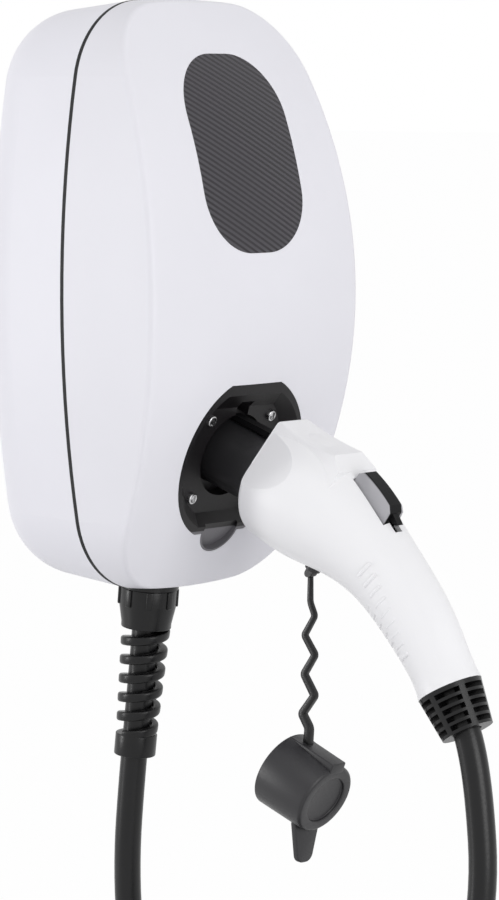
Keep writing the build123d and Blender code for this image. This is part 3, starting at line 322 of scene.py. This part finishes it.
finishSet = {  # colour, drift, roughness, gloss, grain per metre, grain depth in metres
    "rearWhite": ((0.80, 0.795, 0.835), 0.01, 0.42, 0.3, 1600, 0.00002),
    "frontWhite": ((0.78, 0.775, 0.81), 0.01, 0.42, 0.3, 1600, 0.00002),
    "connectorWhite": ((0.84, 0.838, 0.842), 0.01, 0.38, 0.3, 1400, 0.00002),
    "dockBlack": ((0.008, 0.007, 0.008), 0.12, 0.45, 0.3, 1300, 0.00006),
    "noseBlack": ((0.02, 0.0195, 0.021), 0.1, 0.36, 0.45, 1500, 0.00003),
    "triggerBlack": ((0.005, 0.005, 0.0055), 0.12, 0.5, 0.14, 1500, 0.00005),
    "glandBlack": ((0.004, 0.004, 0.0045), 0.12, 0.32, 0.33, 1300, 0.00003),
    "capBlack": ((0.021, 0.0204, 0.0225), 0.12, 0.4, 0.42, 1100, 0.00003),
    "rubberDark": ((0.016, 0.016, 0.017), 0.1, 0.65, 0.3, 1200, 0.00004),
    "caseBlack": ((0.03, 0.03, 0.033), 0.1, 0.45, 0.5, 1400, 0.00004),
    "terminalGrey": ((0.24, 0.26, 0.27), 0.05, 0.5, 0.5, 1400, 0.00003),
    "wireBlue": ((0.03, 0.09, 0.3), 0.08, 0.4, 0.5, 1200, 0.00002),
    "boardGreen": ((0.02, 0.14, 0.06), 0.15, 0.35, 0.5, 700, 0.00003),
    "tieFabric": ((0.02, 0.02, 0.022), 0.2, 0.85, 0.3, 2600, 0.00015),
    "cableSheath": ((0.005, 0.005, 0.0056), 0.1, 0.32, 0.33, 900, 0.00002),
}

lensSet = {"colour": (0.85, 0.88, 0.88), "roughness": 0.15, "clear": 0.8, "grain": 500.0, "depth": 0.00001}


def clearLens():
    material, tree, shader = newMaterial("clearLens", lensSet["colour"], lensSet["roughness"])
    shader.inputs["Transmission Weight"].default_value = lensSet["clear"]
    addBump(tree, shader, noiseOn(tree, lensSet["grain"]), lensSet["depth"])
    return material


windowSet = {
    "dark": (0.016, 0.014, 0.018), "line": (0.06, 0.057, 0.065), "pitch": 0.0026, "slant": 62.0,
    "roughness": 0.3, "smooth": 0.26, "rough": 0.4, "gloss": 0.35,
    "waveUnit": 20.0,  # the Wave Texture's own scale, in radians per metre
}


def windowSmoke():  # smoked panel with fine slanted lines under its gloss
    material, tree, shader = newMaterial("windowSmoke", windowSet["dark"], windowSet["roughness"])
    shader.inputs["Specular IOR Level"].default_value = windowSet["gloss"]
    coords = tree.nodes.new("ShaderNodeTexCoord")
    mapping = tree.nodes.new("ShaderNodeMapping")
    mapping.inputs["Rotation"].default_value = (0, math.radians(windowSet["slant"]), 0)
    wave = tree.nodes.new("ShaderNodeTexWave")
    wave.wave_type = "BANDS"
    wave.bands_direction = "X"
    wave.inputs["Scale"].default_value = 2 * math.pi / (windowSet["waveUnit"] * windowSet["pitch"])
    wave.inputs["Distortion"].default_value = 0.0
    tree.links.new(coords.outputs["Object"], mapping.inputs["Vector"])
    tree.links.new(mapping.outputs["Vector"], wave.inputs["Vector"])
    tint(tree, shader, wave.outputs["Fac"], windowSet["dark"], windowSet["line"])
    rough = vary(tree, wave.outputs["Fac"], windowSet["smooth"], windowSet["rough"])
    tree.links.new(rough, shader.inputs["Roughness"])
    return material


mixSockets = {"base": 6, "second": 7, "result": 2}  # the Mix node's sockets for colours


def blendShade(tree, shader, share, colour):  # lays a second shade over the base by a share
    base = shader.inputs["Base Color"].links[0].from_socket
    mix = tree.nodes.new("ShaderNodeMix")
    mix.data_type = "RGBA"
    tree.links.new(share, mix.inputs["Factor"])
    tree.links.new(base, mix.inputs[mixSockets["base"]])
    mix.inputs[mixSockets["second"]].default_value = (*colour, 1)
    tree.links.new(mix.outputs[mixSockets["result"]], shader.inputs["Base Color"])


# Painted light: a paler grey laid on the drain scoop's floor, standing in for the light from above that falls
# on it
scoopLightSet = {"origin": (0, -0.115854, -0.08), "up": (0, -0.32, 0.947418), "from": -0.0372, "to": -0.0378,
            "colour": (0.17, 0.165, 0.175)}


def paintScoopLight(material):  # painted light: the drain scoop's floor is painted paler than the rest of the dock, for the light falling on it from above
    tree = material.node_tree
    coords = tree.nodes.new("ShaderNodeTexCoord")
    offset = tree.nodes.new("ShaderNodeVectorMath")
    offset.operation = "SUBTRACT"
    offset.inputs[1].default_value = scoopLightSet["origin"]
    along = tree.nodes.new("ShaderNodeVectorMath")
    along.operation = "DOT_PRODUCT"
    along.inputs[1].default_value = scoopLightSet["up"]
    tree.links.new(coords.outputs["Object"], offset.inputs[0])
    tree.links.new(offset.outputs["Vector"], along.inputs[0])
    share = vary(tree, along.outputs["Value"], 0, 1, scoopLightSet["from"], scoopLightSet["to"])
    blendShade(tree, tree.nodes["Principled BSDF"], share, scoopLightSet["colour"])


flankSet = {"from": 0.0042, "to": 0.0046, "colour": (0.4, 0.396, 0.412)}


def greyFlanks(material):  # the thumb pad's flanks are paler than its top
    tree = material.node_tree
    coords = tree.nodes.new("ShaderNodeTexCoord")
    parts = tree.nodes.new("ShaderNodeSeparateXYZ")
    aside = tree.nodes.new("ShaderNodeMath")
    aside.operation = "ABSOLUTE"
    tree.links.new(coords.outputs["Object"], parts.inputs[0])
    tree.links.new(parts.outputs["X"], aside.inputs[0])
    share = vary(tree, aside.outputs[0], 0, 1, flankSet["from"], flankSet["to"])
    blendShade(tree, tree.nodes["Principled BSDF"], share, flankSet["colour"])


nodeFinishes = {
    "rear_shell": "rearWhite", "front_shell": "frontWhite", "seam_gasket": "rubberDark",
    "supply_grommet": "rubberDark", "dock_liner": "dockBlack", "main_board": "boardGreen",
    "light_board": "boardGreen", "power_relays": "caseBlack", "power_supply": "caseBlack",
    "leakage_sensor": "caseBlack", "terminal_block": "terminalGrey", "output_wires": "wireBlue",
    "gland_body": "glandBlack", "gland_locknut": "glandBlack", "gland_seal": "rubberDark",
    "connector_shell_left": "connectorWhite", "connector_shell_right": "connectorWhite",
    "connector_nose": "noseBlack", "latch_trigger": "triggerBlack", "cable_clamp": "glandBlack",
    "relief_nut": "glandBlack", "strap_stud": "capBlack", "coil_ties": "tieFabric",
    "board_screws": "screwSteel", "trigger_pin": "screwSteel", "trigger_spring": "screwSteel",
    "capacitors": "canMetal", "contact_sleeves": "contactBrass", "status_window": "windowSmoke",
    "light_pipe": "clearLens",
}


def makeFinishes():
    made = {name: mouldedPlastic(name, *values) for name, values in finishSet.items()}
    for name, values in metalSet["kinds"].items():
        made[name] = brightMetal(name, *values)
    made["windowSmoke"] = windowSmoke()
    made["clearLens"] = clearLens()
    # painted light on the drain scoop's floor
    paintScoopLight(made["dockBlack"])
    greyFlanks(made["triggerBlack"])
    return made


def dressNodes(finishes):
    for node, finish in nodeFinishes.items():
        obj = nodes[node]
        obj.data.materials.clear()
        obj.data.materials.append(finishes[finish])


# Screws with a domed head and a cross sunk below its top faces, which stay closed, in millimetres
screwSet = {
    "dockScrews": {
        "node": "dock_screws", "body": "wallbox", "out": (0, -0.947418, -0.32), "side": (1, 0, 0),
        "head": 2.8, "height": 1.8, "shank": 1.7, "length": 12.0,
        "seats": [(-22, -101.459, -97.62), (22, -101.459, -97.62), (-22, -114.515, -58.965),
                  (22, -114.515, -58.965)],
    },
    "connectorScrews": {
        "node": "connector_screws", "body": "connector", "out": (1, 0, 0), "side": (0, 1, 0),
        "head": 2.6, "height": 2.0, "shank": 1.4, "length": 15.6,
        "seats": [(4.6, -150.579, -115.464), (4.6, -183.949, -126.385), (4.6, -211.205, -146.461)],
    },
    "shellScrews": {
        "node": "shell_screws", "body": "wallbox", "out": (0, 1, 0), "side": (1, 0, 0),
        "head": 3.6, "height": 2.6, "shank": 1.9, "length": 31.0,
        "seats": [(-54, -52, -98), (54, -52, -98), (-54, -52, 98), (54, -52, 98)],
    },
}


recessSet = {
    "arm": 0.58, "slot": 0.15,  # shares of the head's radius
    "depth": 0.55, "dome": 0.35,  # shares of the head's height
    "sides": 32, "near": 0.001, "cut": 0.0001,
}


def makeScrew(sizes):
    head, height, near = sizes["head"], sizes["height"], recessSet["near"]
    arm, slot = head * recessSet["arm"], head * recessSet["slot"]
    bm = bmesh.new()
    bmesh.ops.create_circle(bm, cap_ends=True, segments=recessSet["sides"], radius=head)
    seat = bm.faces[:]
    top = pull(bm, seat, (0, 0, height))
    soften(bm, top[0].edges[:], height * recessSet["dome"])
    bm.faces.ensure_lookup_table()
    for axis in (Vector((1, 0, 0)), Vector((0, 1, 0))):
        for reach in (-arm, -slot, slot, arm):
            flat = [f for f in bm.faces if f.calc_center_median().z > height - near]
            parts = list(dict.fromkeys(part for f in flat for part in (f, *f.edges, *f.verts)))
            bmesh.ops.bisect_plane(bm, geom=parts, plane_co=axis * reach, plane_no=axis,
                                   dist=recessSet["cut"])
    cross = []
    for face in bm.faces:
        middle = face.calc_center_median()
        along, across = max(abs(middle.x), abs(middle.y)), min(abs(middle.x), abs(middle.y))
        if middle.z > height - near and along < arm and across < slot:
            cross.append(face)
    pull(bm, cross, (0, 0, -height * recessSet["depth"]))
    under = [f for f in bm.faces if abs(f.calc_center_median().z) < near]
    bmesh.ops.inset_region(bm, faces=under, thickness=head - sizes["shank"])
    pull(bm, under, (0, 0, -sizes["length"]))
    bmesh.ops.recalc_face_normals(bm, faces=bm.faces)
    return bm


def addScrews(finishes):
    for name, sizes in screwSet.items():
        screw = makeScrew(sizes)
        one = bpy.data.meshes.new("oneScrew")
        screw.to_mesh(one)
        screw.free()
        bm = bmesh.new()
        for seat in sizes["seats"]:
            before = set(bm.verts)
            bm.from_mesh(one)
            bmesh.ops.transform(bm, matrix=placed(seat, sizes["out"], sizes["side"]),
                                verts=[v for v in bm.verts if v not in before])
        bpy.data.meshes.remove(one)
        finishPiece(name, bm, Matrix(), finishes["screwSteel"], sizes["body"], sizes["node"])


# Dark trim over the joint of the two shells, drawn out from the gasket's outer wall, in millimetres
trimSet = {"width": 2.2, "proud": 0.22, "thick": 0.5, "flatSide": 0.3, "merge": 0.01}


def addSeamTrim(finishes):
    bm = bmesh.new()
    bm.from_mesh(nodes["seam_gasket"].data)
    low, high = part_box("seam_gasket")
    middle = (low + high) / 2
    inner = []
    for face in bm.faces:
        outward = face.calc_center_median() - middle
        outward.y = 0
        if abs(face.normal.y) > trimSet["flatSide"] or face.normal.dot(outward) < 0:
            inner.append(face)
    bmesh.ops.delete(bm, geom=inner, context="FACES")
    bmesh.ops.remove_doubles(bm, verts=bm.verts, dist=trimSet["merge"] * mm)
    bm.normal_update()
    half = trimSet["width"] / 2 * mm
    for vert in bm.verts:
        out = Vector((vert.normal.x, 0, vert.normal.z)).normalized()
        vert.co += out * trimSet["proud"] * mm
        vert.co.y = middle.y + (half if vert.co.y > middle.y else -half)
    bmesh.ops.solidify(bm, geom=bm.faces[:], thickness=trimSet["thick"] * mm)
    finishPiece("seamTrim", bm, Matrix(), finishes["rubberDark"], "wallbox")


# Gland nut with lugs, open spiral of soft-edged bar and plain collar, in millimetres along the gland's axis
spiralSet = {
    "origin": (0, -54.0, -143.403),
    "down": (0, 0.09932, -0.995056),
    "nut": [(10.5, 4.1), (14.3, 4.1), (14.3, 13.0), (12.6, 22.0), (12.6, 24.5), (7.25, 24.5),
            (7.25, 22.9), (10.5, 22.9)],
    "lugCount": 8, "lugPlace": (14.3, 0, 8.6), "lugSize": (1.8, 3.2, 9.0),
    "collar": [(7.0, 79.4), (10.5, 79.4), (10.5, 90.4), (7.0, 90.4)],
    "pitch": 9.75, "turns": 5.7, "start": 24.0, "firstAngle": -69.0,
    "inside": 7.0, "outsideTop": 12.4, "outsideEnd": 10.5, "barHigh": 4.8, "barRound": 1.3,
    "turnSteps": 40, "sides": 64, "cornerSteps": 4, "round": 0.5, "lean": 0.022,
}


def addSpiralNut(finishes):
    sizes = spiralSet
    bm = bmesh.new()
    turn(bm, sizes["nut"], sizes["sides"])
    turn(bm, sizes["collar"], sizes["sides"])
    for index in range(sizes["lugCount"]):
        spot = Matrix.Rotation(2 * math.pi * index / sizes["lugCount"], 4, "Z")
        spot = spot @ Matrix.Translation(sizes["lugPlace"]) @ Matrix.Diagonal((*sizes["lugSize"], 1))
        bmesh.ops.create_cube(bm, size=1, matrix=spot)
    soften(bm, sharpEdges(bm), sizes["round"])
    before = set(bm.verts)
    depth = sizes["outsideTop"] - sizes["inside"]
    section = Matrix.Translation((sizes["inside"] + depth / 2, 0, sizes["start"]))
    section = section @ Matrix.Rotation(math.pi / 2, 4, "X")
    section = section @ Matrix.Diagonal((depth / 2, sizes["barHigh"] / 2, 1, 1))
    corners = bmesh.ops.create_grid(bm, x_segments=1, y_segments=1, size=1, matrix=section)["verts"]
    roundCorners(bm, corners, sizes["barRound"], sizes["cornerSteps"])
    ring = [v for v in bm.verts if v not in before]
    ringEdges = edgesAt(ring)
    bmesh.ops.delete(bm, geom=list({f for v in ring for f in v.link_faces}), context="FACES_ONLY")
    bmesh.ops.spin(bm, geom=ring + ringEdges, cent=(0, 0, 0), axis=(0, 0, 1),
                   dvec=(0, 0, sizes["pitch"] / sizes["turnSteps"]), angle=2 * math.pi * sizes["turns"],
                   steps=int(sizes["turns"] * sizes["turnSteps"]), use_merge=False)
    bar = [v for v in bm.verts if v not in before]
    shrink = (sizes["outsideTop"] - sizes["outsideEnd"]) / depth
    for vert in bar:
        flat = Vector((vert.co.x, vert.co.y, 0))
        share = (vert.co.z - sizes["start"]) / (sizes["pitch"] * sizes["turns"])
        vert.co -= flat.normalized() * (flat.length - sizes["inside"]) * shrink * share
    bmesh.ops.rotate(bm, verts=bar, cent=(0, 0, 0),
                     matrix=Matrix.Rotation(math.radians(sizes["firstAngle"]), 3, "Z"))
    bmesh.ops.holes_fill(bm, edges=[e for e in bm.edges if e.is_boundary], sides=0)
    for vert in bm.verts:
        vert.co.y -= max(vert.co.z - sizes["start"], 0) * sizes["lean"]
    finishPiece("spiralNut", bm, placed(sizes["origin"], sizes["down"]), finishes["glandBlack"], "wallbox",
                "gland_spiral_nut")


# Dust cap with its bar and pull tab, in millimetres from its closed face
capTilt = math.radians(25)
capSet = {
    "origin": (0, -169.058, -241.728),
    "out": (0, -math.cos(capTilt), -math.sin(capTilt)),
    "wall": [(0, -1.6), (12.2, -1.6), (12.2, 0), (16.8, 0), (18.0, -1.2), (19.8, -29.6), (18.0, -29.6),
             (16.4, -4), (0, -4)],
    "barPlace": (0, 17.2, -14.8), "barSize": (10, 5.6, 29.6), "barTilt": 2.8,
    "tab": [(-9.6, -15, -5.5), (9.6, -15, -5.5), (5, -36, -5.5), (-5, -36, -5.5)],
    "tabThick": 3.0, "tabRound": 3.6, "tabBend": -20.0, "tipBelow": -30.0, "tipDeep": 1.0,
    "sides": 96, "tabSteps": 6, "round": 0.6,
}


def addCap(finishes):
    bm = bmesh.new()
    turn(bm, capSet["wall"], capSet["sides"])
    spot = Matrix.Translation(capSet["barPlace"]) @ Matrix.Rotation(-math.radians(capSet["barTilt"]), 4, "X")
    spot = spot @ Matrix.Diagonal((*capSet["barSize"], 1))
    bmesh.ops.create_cube(bm, size=1, matrix=spot)
    before = set(bm.verts)
    leaf = bm.faces.new([bm.verts.new(p) for p in capSet["tab"]])
    pull(bm, [leaf], (0, 0, -capSet["tabThick"]))
    tab = [v for v in bm.verts if v not in before]
    tips = []
    for edge in edgesAt(tab):
        one, other = (v.co for v in edge.verts)
        if max(one.y, other.y) < capSet["tipBelow"] and abs(one.z - other.z) > capSet["tipDeep"]:
            tips.append(edge)
    soften(bm, tips, capSet["tabRound"], capSet["tabSteps"])
    tab = [v for v in bm.verts if v not in before]
    bmesh.ops.rotate(bm, verts=tab, cent=capSet["tab"][0],
                     matrix=Matrix.Rotation(math.radians(capSet["tabBend"]), 3, "X"))
    bmesh.ops.recalc_face_normals(bm, faces=bm.faces)
    soften(bm, sharpEdges(bm), capSet["round"])
    finishPiece("capShell", bm, placed(capSet["origin"], capSet["out"]), finishes["capBlack"], "dust_cap",
                "dust_cap")


# Zigzag strap from the stud to the cap, in millimetres
strapSet = {
    "line": [(-159.26, -133.4), (-159.1, -145.77), (-162.02, -152.38), (-155.51, -162.29), (-162.21, -171.37),
             (-155.3, -181.29), (-161.98, -191.2), (-154.2, -200.8), (-158.6, -207.4), (-157.4, -220)],
    "thick": 2.3, "thickEnd": 4.0, "widthEnd": 4.0, "widthShare": 0.56,
    "cornerRound": 1.3, "cornerSteps": 4, "edgeRound": 0.45, "edgeSteps": 2, "edgeAngle": 50.0,
    "pivot": (0, -159.258, -131.728),
    "eye": [(0.95, -1.4), (2.0, -1.4), (2.0, 1.4), (0.95, 1.4)], "eyeSides": 32,
}


def addStrap(finishes):
    bm = bmesh.new()
    corners = [bm.verts.new((0, y, z)) for y, z in strapSet["line"]]
    for pair in zip(corners, corners[1:]):
        bm.edges.new(pair)
    roundCorners(bm, corners[1:-1], strapSet["cornerRound"], strapSet["cornerSteps"])
    side = bmesh.ops.extrude_edge_only(bm, edges=bm.edges[:])["geom"]
    right = {g for g in side if isinstance(g, bmesh.types.BMVert)}
    top, end = strapSet["line"][0][1], strapSet["line"][-1][1]
    shares = [(vert.co.z - top) / (end - top) for vert in bm.verts]
    for vert, share in zip(bm.verts, shares):
        half = (strapSet["thick"] + (strapSet["thickEnd"] - strapSet["thick"]) * share) / 2
        vert.co.x = half if vert in right else -half
    strap = finishPiece("capStrap", bm, Matrix.Scale(mm, 4), finishes["glandBlack"], "dust_cap")
    widen = strap.vertex_groups.new(name="widening")
    for index, share in enumerate(shares):
        widen.add([index], max(share, 0), "REPLACE")
    thick = strap.modifiers.new("strapWidth", "SOLIDIFY")
    thick.thickness = strapSet["widthEnd"] * mm
    thick.vertex_group = widen.name
    thick.thickness_vertex_group = strapSet["widthShare"]
    thick.offset = 0
    thick.use_even_offset = True
    edge = strap.modifiers.new("softEdges", "BEVEL")
    edge.width = strapSet["edgeRound"] * mm
    edge.segments = strapSet["edgeSteps"]
    edge.limit_method = "ANGLE"
    edge.angle_limit = math.radians(strapSet["edgeAngle"])
    bm = bmesh.new()
    turn(bm, strapSet["eye"], strapSet["eyeSides"])
    finishPiece("strapEye", bm, placed(strapSet["pivot"], (1, 0, 0), (0, 1, 0)), finishes["capBlack"],
                "dust_cap")


# Shallow ribs on both sides of the grip, above the grooves of its inner curve, in millimetres and degrees
gripSet = {
    "bend": 178.0, "bendStart": (-141.146, -88.544), "bendAngle": math.asin(0.32), "straight": 4.0,
    "count": 9, "first": 79.2, "pitch": 5.6, "thick": 0.9, "sunk": 0.55, "sides": 12, "steps": 16,
    "firstAngle": 157.0, "lastAngle": 188.0, "sweep": 26.0,
    "radii": [(54.0, 24.1), (66.0, 21.3), (97.0, 17.9), (118.0, 16.6), (145.5, 16.0)],
}


def gripRadius(along):
    for (near, radiusA), (far, radiusB) in zip(gripSet["radii"], gripSet["radii"][1:]):
        if along <= far:
            return radiusA + (radiusB - radiusA) * (along - near) / (far - near)
    return gripSet["radii"][-1][1]


def addGripRibs(finishes):
    bm = bmesh.new()
    startY, startZ = gripSet["bendStart"]
    first, bend = gripSet["bendAngle"], gripSet["bend"]
    for index in range(gripSet["count"]):
        along = gripSet["first"] + index * gripSet["pitch"]
        angle = first + (along - gripSet["straight"]) / bend
        y = startY - bend * (math.sin(angle) - math.sin(first))
        z = startZ - bend * (math.cos(first) - math.cos(angle))
        spot = placed((0, y, z), (0, -math.cos(angle), -math.sin(angle)))
        radius = gripRadius(along) - gripSet["sunk"]
        share = index / (gripSet["count"] - 1)
        leftAngle = gripSet["firstAngle"] + (gripSet["lastAngle"] - gripSet["firstAngle"]) * share
        for left in (1, 0):
            begin = leftAngle if left else 180 - leftAngle - gripSet["sweep"]
            before = set(bm.verts)
            section = Matrix.Rotation(math.radians(begin), 4, "Z") @ Matrix.Translation((radius, 0, 0))
            ring = bmesh.ops.create_circle(bm, segments=gripSet["sides"], radius=gripSet["thick"],
                                           matrix=section @ Matrix.Rotation(math.pi / 2, 4, "X"))["verts"]
            bmesh.ops.spin(bm, geom=ring + edgesAt(ring), cent=(0, 0, 0), axis=(0, 0, 1),
                           angle=math.radians(gripSet["sweep"]), steps=gripSet["steps"], use_merge=False)
            bmesh.ops.transform(bm, matrix=spot, verts=[v for v in bm.verts if v not in before])
    bmesh.ops.holes_fill(bm, edges=[e for e in bm.edges if e.is_boundary], sides=0)
    finishPiece("gripRibs", bm, Matrix(), finishes["connectorWhite"], "connector")


# Charging lead: one cord from the gland through the coil to the handle, in millimetres
leadSet = {
    "diameter": 13.5, "order": 3, "curveSteps": 6, "ringSteps": 7,
    "boxSide": [(0, -56.19, -121.5), (0, -50.03, -180), (0, -41.9, -242.9), (0, -37.5, -290),
                (4, -37, -335), (22, -47, -382)],
    "coilCentre": (-140, -425),
    "turnPoints": 16,
    "lanes": [  # turns so far, radius, x
        (0.0, 84, 27.4), (0.5, 62, 20.5), (4.0, 62, -27.4), (4.125, 69, -30.0), (4.25, 76, -28.0),
        (7.0, 76, 10.0), (7.25, 90, 11.0), (9.5, 90, -19.8),
    ],
    "connectorSide": [(-13, -240, -374), (-4, -259, -322), (-0.5, -266.4, -272), (0, -262.4, -228),
                      (0, -256.43, -200.55), (0, -247.66, -184.83), (0, -230.11, -153.4)],
    "blendStart": (0, -0.2380, -0.4000),  # metres
    "blendEnd": (0, -0.3276, -0.3552),
}


def leadPoints():
    points = [Vector(p) for p in leadSet["boxSide"]]
    centreY, centreZ = leadSet["coilCentre"]
    lanes = leadSet["lanes"]
    steps = int(lanes[-1][0] * leadSet["turnPoints"])
    widen = 1 / math.cos(math.pi / leadSet["turnPoints"]) ** 0.5  # the spline runs inside its points
    for step in range(steps + 1):
        turns = step / leadSet["turnPoints"]
        for (turnA, radiusA, xA), (turnB, radiusB, xB) in zip(lanes, lanes[1:]):
            if turnA <= turns <= turnB:
                share = (turns - turnA) / (turnB - turnA)
                radius = (radiusA + (radiusB - radiusA) * share) * widen
                x = xA + (xB - xA) * share
                break
        angle = -2 * math.pi * turns
        points.append(Vector((x, centreY + radius * math.cos(angle), centreZ + radius * math.sin(angle))))
    points += [Vector(p) for p in leadSet["connectorSide"]]
    return [p * mm for p in points]


def addLead(finishes):
    data = bpy.data.curves.new("leadRoute", "CURVE")
    data.dimensions = "3D"
    data.resolution_u = leadSet["curveSteps"]
    points = leadPoints()
    spline = data.splines.new("NURBS")
    spline.points.add(len(points) - 1)
    for spot, point in zip(spline.points, points):
        spot.co = (*point, 1)
    spline.order_u = leadSet["order"]
    spline.use_endpoint_u = True
    route = bpy.data.objects.new("leadRoute", data)
    bpy.context.scene.collection.objects.link(route)
    line = bpy.data.meshes.new_from_object(route)
    data.bevel_depth = leadSet["diameter"] / 2 * mm
    data.bevel_resolution = leadSet["ringSteps"]
    data.use_fill_caps = True
    tube = bpy.data.meshes.new_from_object(route)
    bpy.data.objects.remove(route)
    lead = bpy.data.objects.new("chargingLead", tube)
    bpy.context.scene.collection.objects.link(lead)
    tube.materials.clear()
    tube.materials.append(finishes["cableSheath"])
    tube.shade_smooth()
    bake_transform(lead)
    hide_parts("cable_box_side", "cable_coil", "cable_connector_side")


bpy.context.scene.view_settings.view_transform = "Standard"
addCamera()
addLights()
addFloor()
print("camera, light and floor placed")
finishes = makeFinishes()
dressNodes(finishes)
print("finishes on the nodes")
addScrews(finishes)
print("screws set")
addSeamTrim(finishes)
print("seam trimmed")
addSpiralNut(finishes)
print("spiral nut wound")
addCap(finishes)
addStrap(finishes)
print("cap hung")
addGripRibs(finishes)
print("grip ribbed")
addLead(finishes)
print("lead laid")
